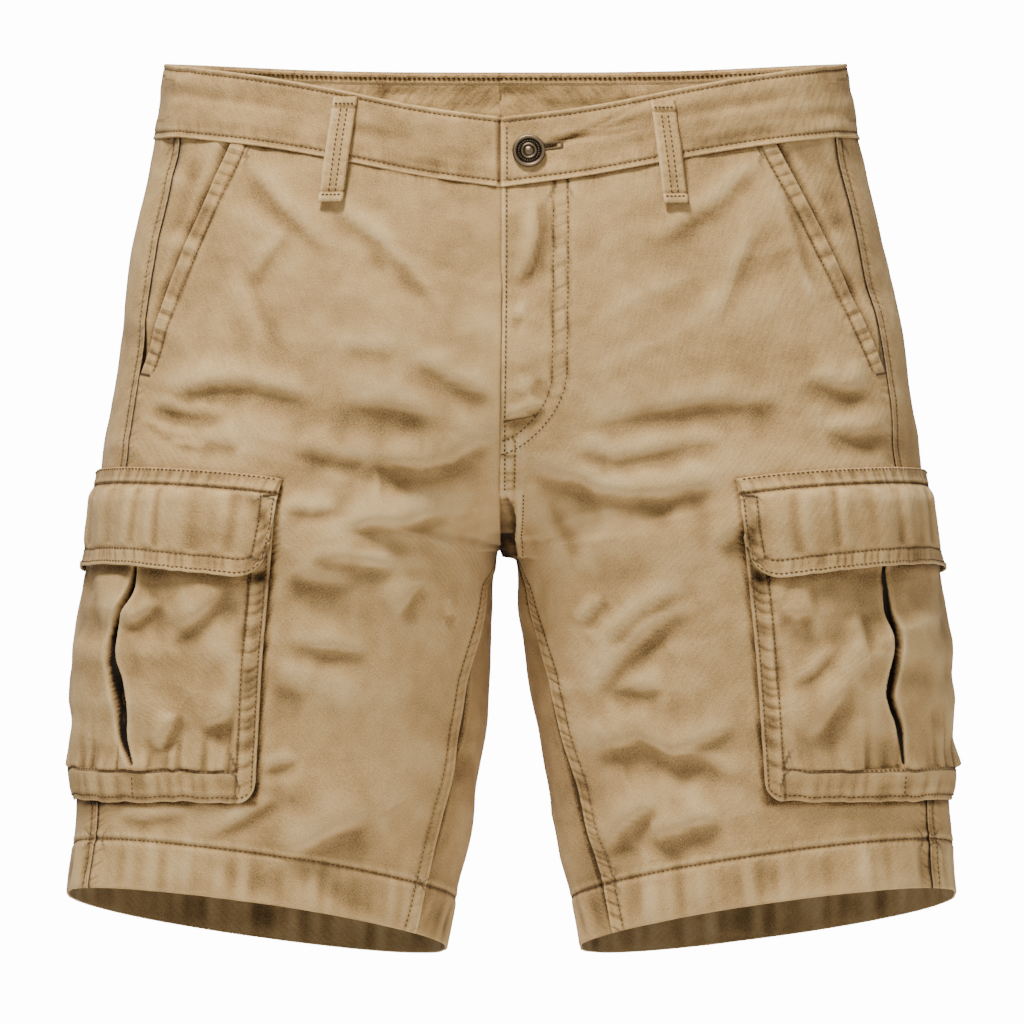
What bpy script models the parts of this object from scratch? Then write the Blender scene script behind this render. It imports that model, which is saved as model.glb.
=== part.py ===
"""Cargo shorts, filled out as if worn: hollow, open at the waist and at both hems.

Metres, +Z up. The front faces -Y and the wearer's left is +X. The origin is the middle of the
waist opening, at the height of the band's top edge above the side seams. Tables and named sizes
are in millimetres, and MM turns them into metres.

Every piece of cloth is a wall on one surface, "the body". A place on it is a side (+1 the wearer's
left, -1 the right), a row, named by its height at the side of the hip, and the distance along that
row from the outseam, positive to the front and negative to the back. What lies on a panel is
made from the panel's own points, moved out.
"""

import math

import bmesh
import bpy
import numpy as np
from mathutils import Matrix, Vector

MM = 0.001

# Rows of the body, from hem to top edge. side: height of the row at the side. half: half width.
# inner: x of the inner line of the leg. front, back: y of the foremost and rearmost points.
# fall_f, fall_b: how far the row falls from the side to the inner edge, front and back.
# leg_f, leg_b: how far the inner edge has gone from the centre of the torso (0) to the fork (1).
# bow: power of that fall. tilt: how much the row rises to the front.
ROW_COLUMNS = "side half inner front back fall_f fall_b leg_f leg_b bow tilt".split()
ROWS = np.array((
    (-496, 267.0, 40.5, -68.0, 76.0, 31.5, 31.5, 1.00, 1.00, 1.00, 0.175),
    (-451, 263.0, 32.0, -72.0, 81.0, 32.0, 32.0, 1.00, 1.00, 1.00, 0.150),
    (-400, 259.5, 21.0, -78.0, 88.0, 31.0, 31.0, 1.00, 1.00, 1.00, 0.110),
    (-343, 255.5, 12.0, -85.0, 95.0, 29.5, 29.5, 1.00, 1.00, 1.00, 0.070),
    (-300, 251.0, 7.0, -91.0, 102.0, 28.0, 28.0, 1.00, 1.00, 1.00, 0.030),
    (-270, 248.0, 5.0, -95.5, 106.5, 27.0, 27.0, 1.00, 1.00, 1.00, 0.005),
    (-262, 247.2, 0.1, -97.0, 108.0, 27.0, 27.0, 1.00, 1.00, 1.00, 0.000),
    (-240, 245.5, 0.1, -100.0, 111.0, 43.0, 47.0, 0.72, 0.75, 1.05, 0.000),
    (-218, 243.0, 0.1, -102.0, 113.0, 52.0, 59.0, 0.42, 0.50, 1.10, 0.000),
    (-196, 240.0, 0.1, -103.0, 114.0, 52.0, 62.0, 0.20, 0.28, 1.10, 0.000),
    (-174, 236.5, 0.1, -103.0, 114.0, 46.0, 58.0, 0.07, 0.13, 1.05, 0.000),
    (-141, 231.5, 0.1, -102.0, 112.0, 41.0, 49.0, 0.00, 0.03, 1.00, 0.000),
    (-87, 221.0, 0.1, -98.0, 106.0, 32.0, 25.0, 0.00, 0.00, 0.90, 0.000),
    (-43, 210.5, 0.1, -92.5, 98.0, 31.0, 1.0, 0.00, 0.00, 0.83, 0.000),
    (0, 204.0, 0.1, -88.0, 94.0, 32.0, 4.0, 0.00, 0.00, 0.70, 0.000),
))
HEM, WAIST_SEAM, TOP_EDGE = -496.0, -43.0, 0.0
FORK_ROW = -262.0
SIDE_Y = 5.0  # y of the widest points
FORK_Y = 10.0  # y of the fork, where four panels meet
OUTSEAM_IN = 15.5  # the outseam lies this far in from the widest point, on the front
TORSO_POWER, LEG_POWER = 2.35, 2.2  # of the superellipses that the rows follow
INSEAM_ROWS = (HEM, -343.0, -285.0, FORK_ROW)
INSEAM_ANGLES = (145.0, 153.0, 162.0, 180.0)  # round the leg from its outer side, on those rows

# The front edge wanders off the middle, the upper part leans and the legs sway.
MIDDLE_HEIGHTS = (-430.0, -343.0, -289.0, -215.0, -40.0, 0.0)
MIDDLE_SHIFTS = (0.0, -2.7, -4.5, -6.5, -3.0, -3.0)
MIDDLE_SPREAD = 70.0
LEAN, LEAN_DEPTH = 3.6, 220.0
SWAY, SWAY_FROM = 1.4, -200.0  # the legs hang this far to the left at the hem

SEAM_GAP = 0.3
PANEL_WALL = 1.6
HEM_WALL, HEM_DEPTH = 3.0, 30.0
BAND_PROUD, BAND_WALL = 0.8, 2.8

SLANT_END, SLANT_WIDTH = -186.0, 34.0  # the slant pocket's lower end, and its width at the top
FACING_UNDER = 26.0  # the pocket facing reaches this far under the front
FACING_SUNK = PANEL_WALL + 1.2

POCKET_FRONT, POCKET_BACK = 102.0, -95.0  # along the rows, from the outseam
POCKET_BOTTOM, POCKET_TOP = -439.0, -262.0
POCKET_WALL, POCKET_EDGE, POCKET_CORNER = 2.2, 3.1, 12.0
SEATED = 0.9  # gap under a pocket's or a flap's sewn edge
PLEAT_AT = {1: 8.0, -1: 2.0}  # place of the pocket's pleat, on each side
PLEAT_HALF, PLEAT_DEEP = 5.0, 3.4
FLAP_FRONT, FLAP_BACK = 104.0, -97.0
FLAP_TOP, FLAP_BOTTOM = -242.0, -301.0
FLAP_WALL, FLAP_CORNER, FLAP_BOW = 2.2, 18.0, 5.0

LOOP_WIDTH, LOOP_WALL, LOOP_GAP, LOOP_ARCH = 14.5, 1.8, 1.5, 1.6
# Belt loops: name, x and height of the upper end, x and height of the lower end, front or back.
LOOPS = (
    ("belt_loop_front_right", -97.8, -20.0, -106.5, -83.0, -1),
    ("belt_loop_front_left", 89.7, -22.5, 97.5, -84.0, -1),
    ("belt_loop_back_right", -104.0, -3.5, -108.0, -66.0, 1),
    ("belt_loop_back_left", 98.0, -3.5, 102.0, -66.0, 1),
    ("belt_loop_centre_back", -6.0, -4.5, -6.0, -68.0, 1),
)

BUTTON_X, BUTTON_HEIGHT = 10.6, -52.4
BUTTON_RADIUS, BUTTON_STANDS, SHANK_RADIUS = 9.8, 0.5, 1.5
# Profile of the button's cap: share of the radius, height above its foot.
BUTTON_PROFILE = (
    (1.0, 0.5), (1.0, 1.7), (0.96, 2.3), (0.88, 2.6), (0.80, 2.4), (0.74, 1.9),
    (0.60, 2.1), (0.46, 2.4), (0.40, 2.1), (0.30, 2.6), (0.14, 2.9),
)
BUTTONHOLE = (7.0, 34.0, 3.8)  # first x, last x, height of the slot
UNDERLAP, UNDERLAP_STEP = 46.0, 7.0  # of the right band under the left one
FLY_END = -214.0  # height where the fly's opening ends
FLY_TOP = -76.0  # height where the strips behind the fly end
FLY_SHIELD = (-9.0, 40.0)  # x range of the strip behind the fly
FLY_ZIP = (-14.0, 14.0)
ZIP_SUNK, ZIP_WALL = PANEL_WALL + 0.6, 1.4
SHIELD_SUNK, SHIELD_WALL = PANEL_WALL + 2.6, 1.6

# Folds pressed into the cloth: x and height of both ends, half width, depth.
FRONT_FOLDS = (
    (-214, -193, -118, -201, 9, 3.2), (-208, -214, -168, -203, 8, 2.4),
    (-160, -58, -109, -115, 13, 2.6), (-122, -236, -12, -240, 11, 3.6),
    (-108, -278, -34, -271, 11, 3.4), (-146, -301, -66, -306, 10, 3.0),
    (-128, -344, -88, -333, 10, 2.6), (-120, -466, -60, -441, 13, 3.4),
    (-90, -380, -52, -402, 12, 2.2), (150, -55, 84, -109, 13, 2.6),
    (36, -208, 172, -202, 12, 3.2), (8, -257, 134, -254, 11, 3.6),
    (172, -187, 216, -196, 9, 3.0), (186, -222, 228, -224, 8, 2.6),
    (48, -379, 114, -331, 12, 3.2), (56, -352, 106, -318, 10, 2.6),
    (78, -463, 126, -448, 12, 3.0), (96, -410, 140, -396, 12, 2.2),
)
BACK_FOLDS = (
    (-18, -262, -120, -232, 13, 3.6), (-26, -292, -150, -268, 12, 3.4),
    (22, -258, 128, -236, 13, 3.6), (30, -296, 146, -262, 12, 3.2),
    (-60, -356, -128, -334, 12, 2.8), (66, -372, 132, -346, 12, 2.8),
    (-70, -446, -136, -424, 13, 3.0), (82, -438, 138, -420, 13, 2.6),
    (-150, -96, -86, -150, 14, 2.8), (146, -90, 92, -146, 14, 2.8),
    (-10, -120, -52, -160, 13, 2.2), (14, -124, 58, -168, 13, 2.2),
)

CLOTH = (0.48, 0.34, 0.20, 1.0)
CLOTH_DARK = (0.42, 0.29, 0.17, 1.0)
METAL = (0.075, 0.055, 0.035, 1.0)


# ---------------------------------------------------------------- the body's surface

def smooth(at, knots, values):
    """A smooth curve through the values at the knots."""
    slopes = np.gradient(values, knots)
    at = np.clip(at, knots[0], knots[-1])
    i = np.clip(np.searchsorted(knots, at) - 1, 0, len(knots) - 2)
    span = knots[i + 1] - knots[i]
    t = (at - knots[i]) / span
    return (
        values[i] * (1 + 2 * t) * (1 - t) ** 2
        + slopes[i] * span * t * (1 - t) ** 2
        + values[i + 1] * t * t * (3 - 2 * t)
        - slopes[i + 1] * span * t * t * (1 - t)
    )


def ease(t):
    """0 to 1 along a smooth step."""
    t = np.clip(t, 0.0, 1.0)
    return t * t * (3 - 2 * t)


def by_length(points, count):
    """Each row of points again, as count points evenly spaced along it, and the rows' lengths."""
    steps = np.linalg.norm(np.diff(points, axis=1), axis=2)
    along = np.concatenate([np.zeros((len(points), 1)), np.cumsum(steps, axis=1)], axis=1)
    even = np.empty((len(points), count, points.shape[2]))
    for row, (line, length) in enumerate(zip(points, along)):
        wanted = np.linspace(0, length[-1], count)
        for axis in range(points.shape[2]):
            even[row, :, axis] = np.interp(wanted, length, line[:, axis])
    return even, along[:, -1]


def superellipse(angle, power, middle, radius, front, back):
    """x and y round a superellipse; the angle is 0 at the side and 90 degrees at the front."""
    c, s = np.cos(angle), np.sin(angle)
    x = middle + radius * np.sign(c) * np.abs(c) ** (2 / power)
    depth = np.where(s > 0, front, back) - SIDE_Y
    return np.stack([x, SIDE_Y + depth * np.abs(s) ** (2 / power)], axis=-1)


class Body:
    """The surface as a fine table of points and outward normals, on the wearer's left side."""

    step, samples = 3.0, 121

    def __init__(self):
        self.heights = np.arange(HEM, TOP_EDGE + 0.1, self.step)
        if self.heights[-1] < TOP_EDGE:
            self.heights = np.append(self.heights, TOP_EDGE)
        knots = ROWS[:, 0]
        self.row = {
            name: smooth(self.heights, knots, ROWS[:, i])[:, None]
            for i, name in enumerate(ROW_COLUMNS)
        }
        self.front, self.front_normals, self.front_lengths = self.panel(front=True)
        self.back, self.back_normals, self.back_lengths = self.panel(front=False)

    def panel(self, front):
        r, t = self.row, np.linspace(0, 1, 241)[None, :]
        inner = np.clip(r["inner"], 0.0, None)
        start = np.arccos((1 - OUTSEAM_IN / r["half"]) ** (TORSO_POWER / 2))
        end = math.pi / 2 if front else -math.pi / 2
        torso, _ = by_length(
            superellipse(
                start + (end - start) * t, TORSO_POWER, 0.0, r["half"], r["front"], r["back"]
            ),
            241,
        )
        radius = (r["half"] - inner) / 2
        start = np.arccos((1 - OUTSEAM_IN / radius) ** (LEG_POWER / 2))
        seam = np.interp(self.heights, INSEAM_ROWS, INSEAM_ANGLES)[:, None]
        end = np.radians(seam if front else seam - 360.0)
        leg, _ = by_length(
            superellipse(
                start + (end - start) * t, LEG_POWER, inner + radius, radius, r["front"], r["back"]
            ),
            241,
        )
        away = ease(t * 1.2)
        share = self.towards("leg", front, away)
        fall = self.towards("fall", front, away)
        flat = (1 - share)[..., None] * torso + share[..., None] * leg
        flat[..., 1] += share * (FORK_Y - SIDE_Y) * ease(2.2 * t - 1.2)
        edge = r["half"] - (OUTSEAM_IN if front else 0.0)
        across_torso = np.clip((edge - torso[..., 0]) / edge, 0.0, 1.0)
        if not front:
            across_torso = np.where(torso[..., 1] < SIDE_Y, 0.0, across_torso)
        across_leg = (r["half"] - leg[..., 0]) / (r["half"] - inner)
        down = (1 - share) * across_torso ** r["bow"] + share * across_leg
        height = r["side"] - fall * down - r["tilt"] * (flat[..., 1] - SIDE_Y)
        points, lengths = by_length(np.concatenate([flat, height[..., None]], axis=2), self.samples)
        points[..., 0] = np.clip(points[..., 0], SEAM_GAP / 2, None)
        across, up = np.gradient(points, axis=1), np.gradient(points, axis=0)
        normals = np.cross(up, across) if front else np.cross(across, up)
        normals /= np.linalg.norm(normals, axis=2, keepdims=True)
        return points, normals, lengths

    def towards(self, name, front, away):
        """A column that has the mean of front and back at the outseam, and its own value inside."""
        mean = (self.row[name + "_f"] + self.row[name + "_b"]) / 2
        own = self.row[name + ("_f" if front else "_b")]
        return mean + (own - mean) * away

    def length(self, row, front):
        """The length of a row from the outseam to the inner edge."""
        lengths = self.front_lengths if front else self.back_lengths
        return np.interp(row, self.heights, lengths)

    def lookup(self, table, row, share):
        i = np.clip((row - HEM) / self.step, 0, len(self.heights) - 1.001)
        j = np.clip(share, 0, 1) * (self.samples - 1.001)
        i0, j0 = i.astype(int), j.astype(int)
        a, b = (i - i0)[..., None], (j - j0)[..., None]
        return (
            table[i0, j0] * (1 - a) * (1 - b) + table[i0 + 1, j0] * a * (1 - b)
            + table[i0, j0 + 1] * (1 - a) * b + table[i0 + 1, j0 + 1] * a * b
        )

    def at(self, side, row, along, out=0.0, folded=True):
        """The points of a side, in millimetres, moved out along the normals."""
        row, along = np.broadcast_arrays(np.asarray(row, float), np.asarray(along, float))
        in_front = along >= 0
        front_share = along / self.length(row, True)
        back_share = -along / self.length(row, False)
        points = np.where(
            in_front[..., None],
            self.lookup(self.front, row, front_share),
            self.lookup(self.back, row, back_share),
        )
        normals = np.where(
            in_front[..., None],
            self.lookup(self.front_normals, row, front_share),
            self.lookup(self.back_normals, row, back_share),
        )
        normals = normals / np.linalg.norm(normals, axis=-1, keepdims=True)
        if folded:
            mirror = np.array((side, 1.0, 1.0))
            out = out - fold_depth(settled(points * mirror), normals)
        points = points + normals * np.asarray(out)[..., None]
        points[..., 0] = side * np.clip(points[..., 0], SEAM_GAP / 2, None)
        return settled(points)

    def row_at_height(self, side, height, along):
        """The row whose point at this distance along it has this height."""
        height, along = np.broadcast_arrays(np.asarray(height, float), np.asarray(along, float))
        row = height.copy()
        for _ in range(8):
            row = np.clip(row + height - self.at(side, row, along, folded=False)[..., 2], HEM, TOP_EDGE)
        return row

    def place_at(self, x, height, face):
        """Side, row and distance along it of the point with this x and height, front or back."""
        x, height = np.broadcast_arrays(np.asarray(x, float), np.asarray(height, float))
        middle = np.interp(height, MIDDLE_HEIGHTS, MIDDLE_SHIFTS) + lean(height)
        side = np.where(x > middle, 1.0, -1.0)
        row = np.clip(height + 25.0, HEM, TOP_EDGE)
        along = self.length(row, face < 0) - np.abs(x - middle)
        for _ in range(30):
            now = self.at_sides(side, row, -face * along, folded=False)
            row = np.clip(row + height - now[..., 2], HEM, TOP_EDGE)
            along = along + 0.7 * side * (now[..., 0] - x)
            along = np.clip(along, 0.0, self.length(row, face < 0))
        return side, row, -face * along

    def at_sides(self, side, row, along, out=0.0, folded=True):
        """As at(), with a side for each point."""
        left = self.at(1, row, along, out, folded)
        right = self.at(-1, row, along, out, folded)
        return np.where((side > 0)[..., None], left, right)


def lean(height):
    """How far a height lies to the left: the upper part leans right, and the legs sway left."""
    upper = LEAN * np.clip(1 + height / LEAN_DEPTH, 0, 1) ** 2
    return SWAY * np.clip((SWAY_FROM - height) / (SWAY_FROM - HEM), 0, 1) - upper


def settled(points):
    """The points with the middle's wander and the lean."""
    middle = np.interp(points[..., 2], MIDDLE_HEIGHTS, MIDDLE_SHIFTS)
    middle = middle * np.exp(-((points[..., 0] / MIDDLE_SPREAD) ** 2))
    shift = middle + lean(points[..., 2])
    return points + shift[..., None] * np.array((1.0, 0.0, 0.0))


def fold_depth(points, normals):
    """How deep the folds press each point in."""
    depth = np.zeros(points.shape[:-1])
    for folds, face in ((FRONT_FOLDS, -1.0), (BACK_FOLDS, 1.0)):
        facing = ease((face * normals[..., 1] - 0.1) / 0.35)
        for x1, z1, x2, z2, half_width, deep in folds:
            run, rise = x2 - x1, z2 - z1
            length = math.hypot(run, rise)
            along = ((points[..., 0] - x1) * run + (points[..., 2] - z1) * rise) / length**2
            off = ((points[..., 0] - x1) * rise - (points[..., 2] - z1) * run) / length
            ends = ease(along * 3 + 0.35) * ease((1 - along) * 3 + 0.35)
            depth += facing * deep * ends * np.exp(-((off / half_width) ** 2))
    return depth


# ---------------------------------------------------------------- tools for the pieces

def material(name, colour, roughness, metallic=0.0):
    made = bpy.data.materials.new(name)
    made.use_nodes = True
    shader = made.node_tree.nodes["Principled BSDF"]
    shader.inputs["Base Color"].default_value = colour
    shader.inputs["Roughness"].default_value = roughness
    shader.inputs["Metallic"].default_value = metallic
    return made


def add_object(name, bm, colour=CLOTH, roughness=0.9, metallic=0.0):
    mesh = bpy.data.meshes.new(name)
    bm.to_mesh(mesh)
    bm.free()
    mesh.materials.append(material(name, colour, roughness, metallic))
    mesh.shade_smooth()
    mesh.set_sharp_from_angle(angle=math.radians(40))
    made = bpy.data.objects.new(name, mesh)
    bpy.context.scene.collection.objects.link(made)
    return made


def wall(name, outer, inner, **finish):
    """A closed wall between two grids of points, each of them rows x columns x 3, in millimetres."""
    rows, columns = outer.shape[0] - 1, outer.shape[1] - 1
    bm = bmesh.new()
    bmesh.ops.create_grid(bm, x_segments=columns, y_segments=rows, size=1.0)
    sheet = bm.verts[:] + bm.edges[:] + bm.faces[:]
    copy = bmesh.ops.duplicate(bm, geom=sheet)["geom"]
    under = [item for item in copy if isinstance(item, bmesh.types.BMVert)]
    bmesh.ops.translate(bm, verts=under, vec=(0, 0, -1))
    bmesh.ops.reverse_faces(bm, faces=[item for item in copy if isinstance(item, bmesh.types.BMFace)])
    bmesh.ops.bridge_loops(bm, edges=[edge for edge in bm.edges if edge.is_boundary])
    bmesh.ops.recalc_face_normals(bm, faces=bm.faces)
    for vert in bm.verts:
        column, row = round((vert.co.x + 1) / 2 * columns), round((vert.co.y + 1) / 2 * rows)
        points = inner if vert.co.z < -0.5 else outer
        vert.co = Vector(points[row, column]) * MM
    if bm.calc_volume(signed=True) < 0:
        bmesh.ops.reverse_faces(bm, faces=bm.faces)
    return add_object(name, bm, **finish)


def strip(name, body, x_range, heights, out, thickness, columns, **finish):
    """A strip behind the middle of the front, between two x and along the given heights."""
    x, height = np.meshgrid(np.linspace(*x_range, columns + 1), heights)
    side, row, along = body.place_at(x, height, -1)
    outer = body.at_sides(side, row, along, out)
    inner = body.at_sides(side, row, along, out - thickness)
    return wall(name, outer, inner, **finish)


# ---------------------------------------------------------------- the pieces

def panel_rows():
    hem_top = HEM + HEM_DEPTH
    hem_rows = (HEM, HEM + 14, hem_top - 1.5, hem_top + 1.5)
    leg_rows = np.linspace(hem_top + 15, FORK_ROW, 13)
    torso_rows = np.linspace(FORK_ROW, WAIST_SEAM - SEAM_GAP / 2, 15)[1:]
    return np.concatenate([hem_rows, leg_rows, torso_rows])


def slant_width(row):
    """How far in from the outseam the front's slant edge lies."""
    return SLANT_WIDTH * np.clip((row - SLANT_END) / (WAIST_SEAM - SLANT_END), 0, 1)


def panel(name, body, side, front, inner_columns):
    rows = panel_rows()[:, None]
    near = np.arange(0.0, 105.1, 15.0)[None, :]
    near_end = near[0, -1]
    length = body.length(rows, front) - SEAM_GAP / 2
    far = near_end + (length - near_end) * np.linspace(0, 1, inner_columns + 1)[None, 1:]
    along = np.concatenate([np.broadcast_to(near, (len(rows), near.size)), far], axis=1)
    along[:, 0] = SEAM_GAP / 2
    if front:
        along += slant_width(rows) * (1 - np.clip(along / near_end, 0, 1))
    thickness = np.where(rows < HEM + HEM_DEPTH, HEM_WALL, PANEL_WALL)
    along = along if front else -along
    outer = body.at(side, rows, along)
    inner = body.at(side, rows, along, -thickness * np.ones_like(along))
    return wall(name, outer, inner)


def pocket_facing(name, body, side):
    """The piece behind the slant opening, from the outseam to well under the front's edge."""
    rows = np.linspace(SLANT_END - 12.0, WAIST_SEAM - SEAM_GAP / 2, 12)[:, None]
    across = np.linspace(0, 1, 6)[None, :]
    first = SEAM_GAP / 2
    along = first + (slant_width(rows) + FACING_UNDER - first) * across
    outer = body.at(side, rows, along, -FACING_SUNK)
    inner = body.at(side, rows, along, -FACING_SUNK - PANEL_WALL)
    return wall(name, outer, inner, colour=CLOTH_DARK)


def band_along(body, front_end):
    """Distances along the band's rows, from the middle of the back to the front end."""
    rows = np.linspace(WAIST_SEAM + SEAM_GAP / 2, TOP_EDGE, 5)[:, None]
    back = body.length(rows, False) - SEAM_GAP / 2
    front = body.length(rows, True) - front_end
    share = np.linspace(0, 1, 36)[None, :]
    return rows, -back + (back + front) * share


def waistband_left(body):
    rows, along = band_along(body, SEAM_GAP / 2)
    outer = body.at(1, rows, along, BAND_PROUD)
    inner = body.at(1, rows, along, BAND_PROUD - BAND_WALL)
    made = wall("waistband_left", outer, inner)
    first, last, height = BUTTONHOLE
    bm = bmesh.new()
    bmesh.ops.create_cube(bm, size=1.0)
    bmesh.ops.scale(bm, verts=bm.verts, vec=Vector((last - first, 16.0, height)) * MM)
    middle = Vector(((first + last) / 2 * MM, ROWS[-1][3] * MM, BUTTON_HEIGHT * MM))
    bmesh.ops.translate(bm, verts=bm.verts, vec=middle)
    cutter = add_object("buttonhole_cutter", bm)
    cutter.hide_render = True
    cutter.display_type = "WIRE"
    slot = made.modifiers.new("buttonhole", "BOOLEAN")
    slot.operation = "DIFFERENCE"
    slot.object = cutter


def waistband_right(body):
    """The right band, which goes on under the left one as far as the button needs."""
    rows, along = band_along(body, UNDERLAP_STEP)
    outer = body.at(-1, rows, along, BAND_PROUD)
    inner = body.at(-1, rows, along, BAND_PROUD - BAND_WALL)
    sunk = BAND_WALL + 0.4
    ends = ((-1, 1.6, 0.0, 0.85), (1, 0.0, sunk, 0.0), (1, 8.0, sunk, 0.0))
    ends += tuple((1, x, sunk, 0.0) for x in np.linspace(20.0, UNDERLAP, 3))
    for side, from_middle, down, keep in ends:
        length = body.length(rows, True)
        out = BAND_PROUD - (down if side > 0 else sunk * (1 - keep))
        points = [
            body.at(side, rows, length - from_middle, out - depth) for depth in (0, BAND_WALL)
        ]
        outer, inner = (
            np.concatenate([grid, more], axis=1) for grid, more in zip((outer, inner), points)
        )
    return wall("waistband_right", outer, inner)


def rounded(along, first, last, radius):
    """How far the lower edge rises at a distance along it, to round the corners."""
    from_end = np.minimum(along - first, last - along)
    inside = np.clip(radius - from_end, 0, radius)
    return radius - np.sqrt(np.clip(radius**2 - inside**2, 0, None))


def pocket_out(side, along, height):
    """How far a cargo pocket's outer side stands off the panel, away from its edges."""
    heights = np.array((POCKET_BOTTOM, -425.0, -390.0, -345.0, -300.0, POCKET_TOP, FLAP_TOP))
    stands = np.array((3.2, 5.0, 7.0, 7.3, 5.6, 4.0, 3.6))
    full = np.interp(height, heights, stands)
    from_edge = np.minimum(along - POCKET_BACK, POCKET_FRONT - along)
    out = POCKET_EDGE + (full - POCKET_EDGE) * ease(from_edge / 16.0)
    pleat = np.clip(1 - np.abs(along - PLEAT_AT[side]) / PLEAT_HALF, 0, 1)
    open_share = ease((height - POCKET_BOTTOM - 18.0) / 20.0)
    return out - PLEAT_DEEP * ease(pleat) * open_share * (out > POCKET_EDGE + PLEAT_DEEP - 2.0)


def lying_along(side, first, last, corner):
    """Distances along the rows for a piece on the leg: the panels' own columns, and its ends."""
    panel_columns = np.arange(-90.0, 105.0, 15.0)
    pleat = PLEAT_AT[side] + np.array((-PLEAT_HALF, 0.0, PLEAT_HALF))
    corners = np.array((0.0, 0.15, 0.5)) * corner
    along = np.concatenate([panel_columns, pleat, first + corners, last - corners])
    along = np.unique(along[(along >= first) & (along <= last)])
    keep = np.concatenate([[True], np.diff(along) > 1.2])
    keep[-1] = True
    return along[keep]


def cargo_pocket(name, body, side):
    along = lying_along(side, POCKET_BACK, POCKET_FRONT, POCKET_CORNER)[None, :]
    bottom = POCKET_BOTTOM + rounded(along, POCKET_BACK, POCKET_FRONT, POCKET_CORNER)
    share = np.concatenate([[0, 0.03, 0.09], np.linspace(0.18, 1, 9)])[:, None]
    height = bottom + (POCKET_TOP - bottom) * share
    row = body.row_at_height(side, height, along)
    foot = ease(share / 0.06)
    out = POCKET_EDGE + (pocket_out(side, along + 0 * row, height) - POCKET_EDGE) * foot
    lining = np.clip(out - POCKET_WALL, SEATED, 4.2)
    outer = body.at(side, row, along, out)
    inner = body.at(side, row, along, lining)
    return wall(name, outer, inner)


def cargo_flap(name, body, side):
    along = lying_along(side, FLAP_BACK, FLAP_FRONT, FLAP_CORNER)[None, :]
    middle = (FLAP_FRONT + FLAP_BACK) / 2
    bow = FLAP_BOW * (1 - ((along - middle) / (FLAP_FRONT - middle)) ** 2)
    bottom = FLAP_BOTTOM - FLAP_BOW + bow + rounded(along, FLAP_BACK, FLAP_FRONT, FLAP_CORNER)
    top = FLAP_TOP - 4.0 + 0.8 * bow
    share = np.linspace(0, 1, 8)[:, None]
    height = bottom + (top - bottom) * share
    row = body.row_at_height(side, height, along)
    over = pocket_out(side, along + 0 * row, height) + 0.5
    level = over.max(axis=1, keepdims=True)
    over = np.maximum(over, np.minimum(level, over + PLEAT_DEEP))
    lift = ease((FLAP_TOP - 2.0 - height) / 16.0)
    lining = SEATED + (over - SEATED) * lift
    outer = body.at(side, row, along, lining + FLAP_WALL)
    inner = body.at(side, row, along, lining)
    return wall(name, outer, inner)


def belt_loop(name, body, top_x, top_height, low_x, low_height, face):
    share = np.linspace(0, 1, 9)[:, None]
    across = np.linspace(-0.5, 0.5, 3)[None, :] * LOOP_WIDTH
    x = low_x + (top_x - low_x) * share + across
    height = low_height + (top_height - low_height) * share + 0 * across
    side, row, along = body.place_at(x, height, face)
    stand = LOOP_GAP + LOOP_ARCH * np.sin(math.pi * share) ** 2 + 0 * across
    outer = body.at_sides(side, row, along, stand + LOOP_WALL)
    inner = body.at_sides(side, row, along, stand)
    return wall(name, outer, inner)


def waist_button(body):
    """A turned metal button, whose shank goes through the buttonhole to the underlap."""
    side, row, along = body.place_at(BUTTON_X, BUTTON_HEIGHT, -1)
    foot = body.at_sides(side, row, along, BAND_PROUD + BUTTON_STANDS)
    outwards = body.at_sides(side, row, along, BAND_PROUD + BUTTON_STANDS + 1.0) - foot
    shank = -(BUTTON_STANDS + BAND_WALL + 0.4 - 0.3)
    profile = [(0.0, shank), (SHANK_RADIUS, shank), (SHANK_RADIUS, 0.2), (BUTTON_RADIUS - 0.6, 0.0)]
    profile += [(share * BUTTON_RADIUS, height) for share, height in BUTTON_PROFILE]
    profile.append((0.0, 3.0))
    bm = bmesh.new()
    verts = [bm.verts.new(Vector((radius, 0, height)) * MM) for radius, height in profile]
    edges = [bm.edges.new(pair) for pair in zip(verts, verts[1:])]
    bmesh.ops.spin(
        bm, geom=verts + edges, cent=(0, 0, 0), axis=(0, 0, 1), angle=math.tau, steps=20, use_merge=True
    )
    bmesh.ops.remove_doubles(bm, verts=bm.verts, dist=0.02 * MM)
    bmesh.ops.recalc_face_normals(bm, faces=bm.faces)
    turn = Vector(outwards).to_track_quat("Z", "Y").to_matrix().to_4x4()
    bmesh.ops.transform(bm, matrix=Matrix.Translation(Vector(foot) * MM) @ turn, verts=bm.verts)
    return add_object("waist_button", bm, colour=METAL, roughness=0.45, metallic=0.9)


def clear_scene():
    for old in list(bpy.data.objects):
        bpy.data.objects.remove(old, do_unlink=True)


def main():
    clear_scene()
    body = Body()
    for side, word in ((1, "left"), (-1, "right")):
        panel(f"front_{word}", body, side, True, 10)
        panel(f"back_{word}", body, side, False, 12)
        pocket_facing(f"pocket_facing_{word}", body, side)
        cargo_pocket(f"cargo_pocket_{word}", body, side)
        cargo_flap(f"cargo_flap_{word}", body, side)
    waistband_left(body)
    waistband_right(body)
    for loop in LOOPS:
        belt_loop(loop[0], body, *loop[1:])
    waist_button(body)
    heights = np.linspace(FLY_END, FLY_TOP, 10)
    strip("fly_zip", body, FLY_ZIP, heights, -ZIP_SUNK, ZIP_WALL, 4, colour=CLOTH_DARK)
    strip("fly_shield", body, FLY_SHIELD, heights, -SHIELD_SUNK, SHIELD_WALL, 6, colour=CLOTH_DARK)


main()
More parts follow.
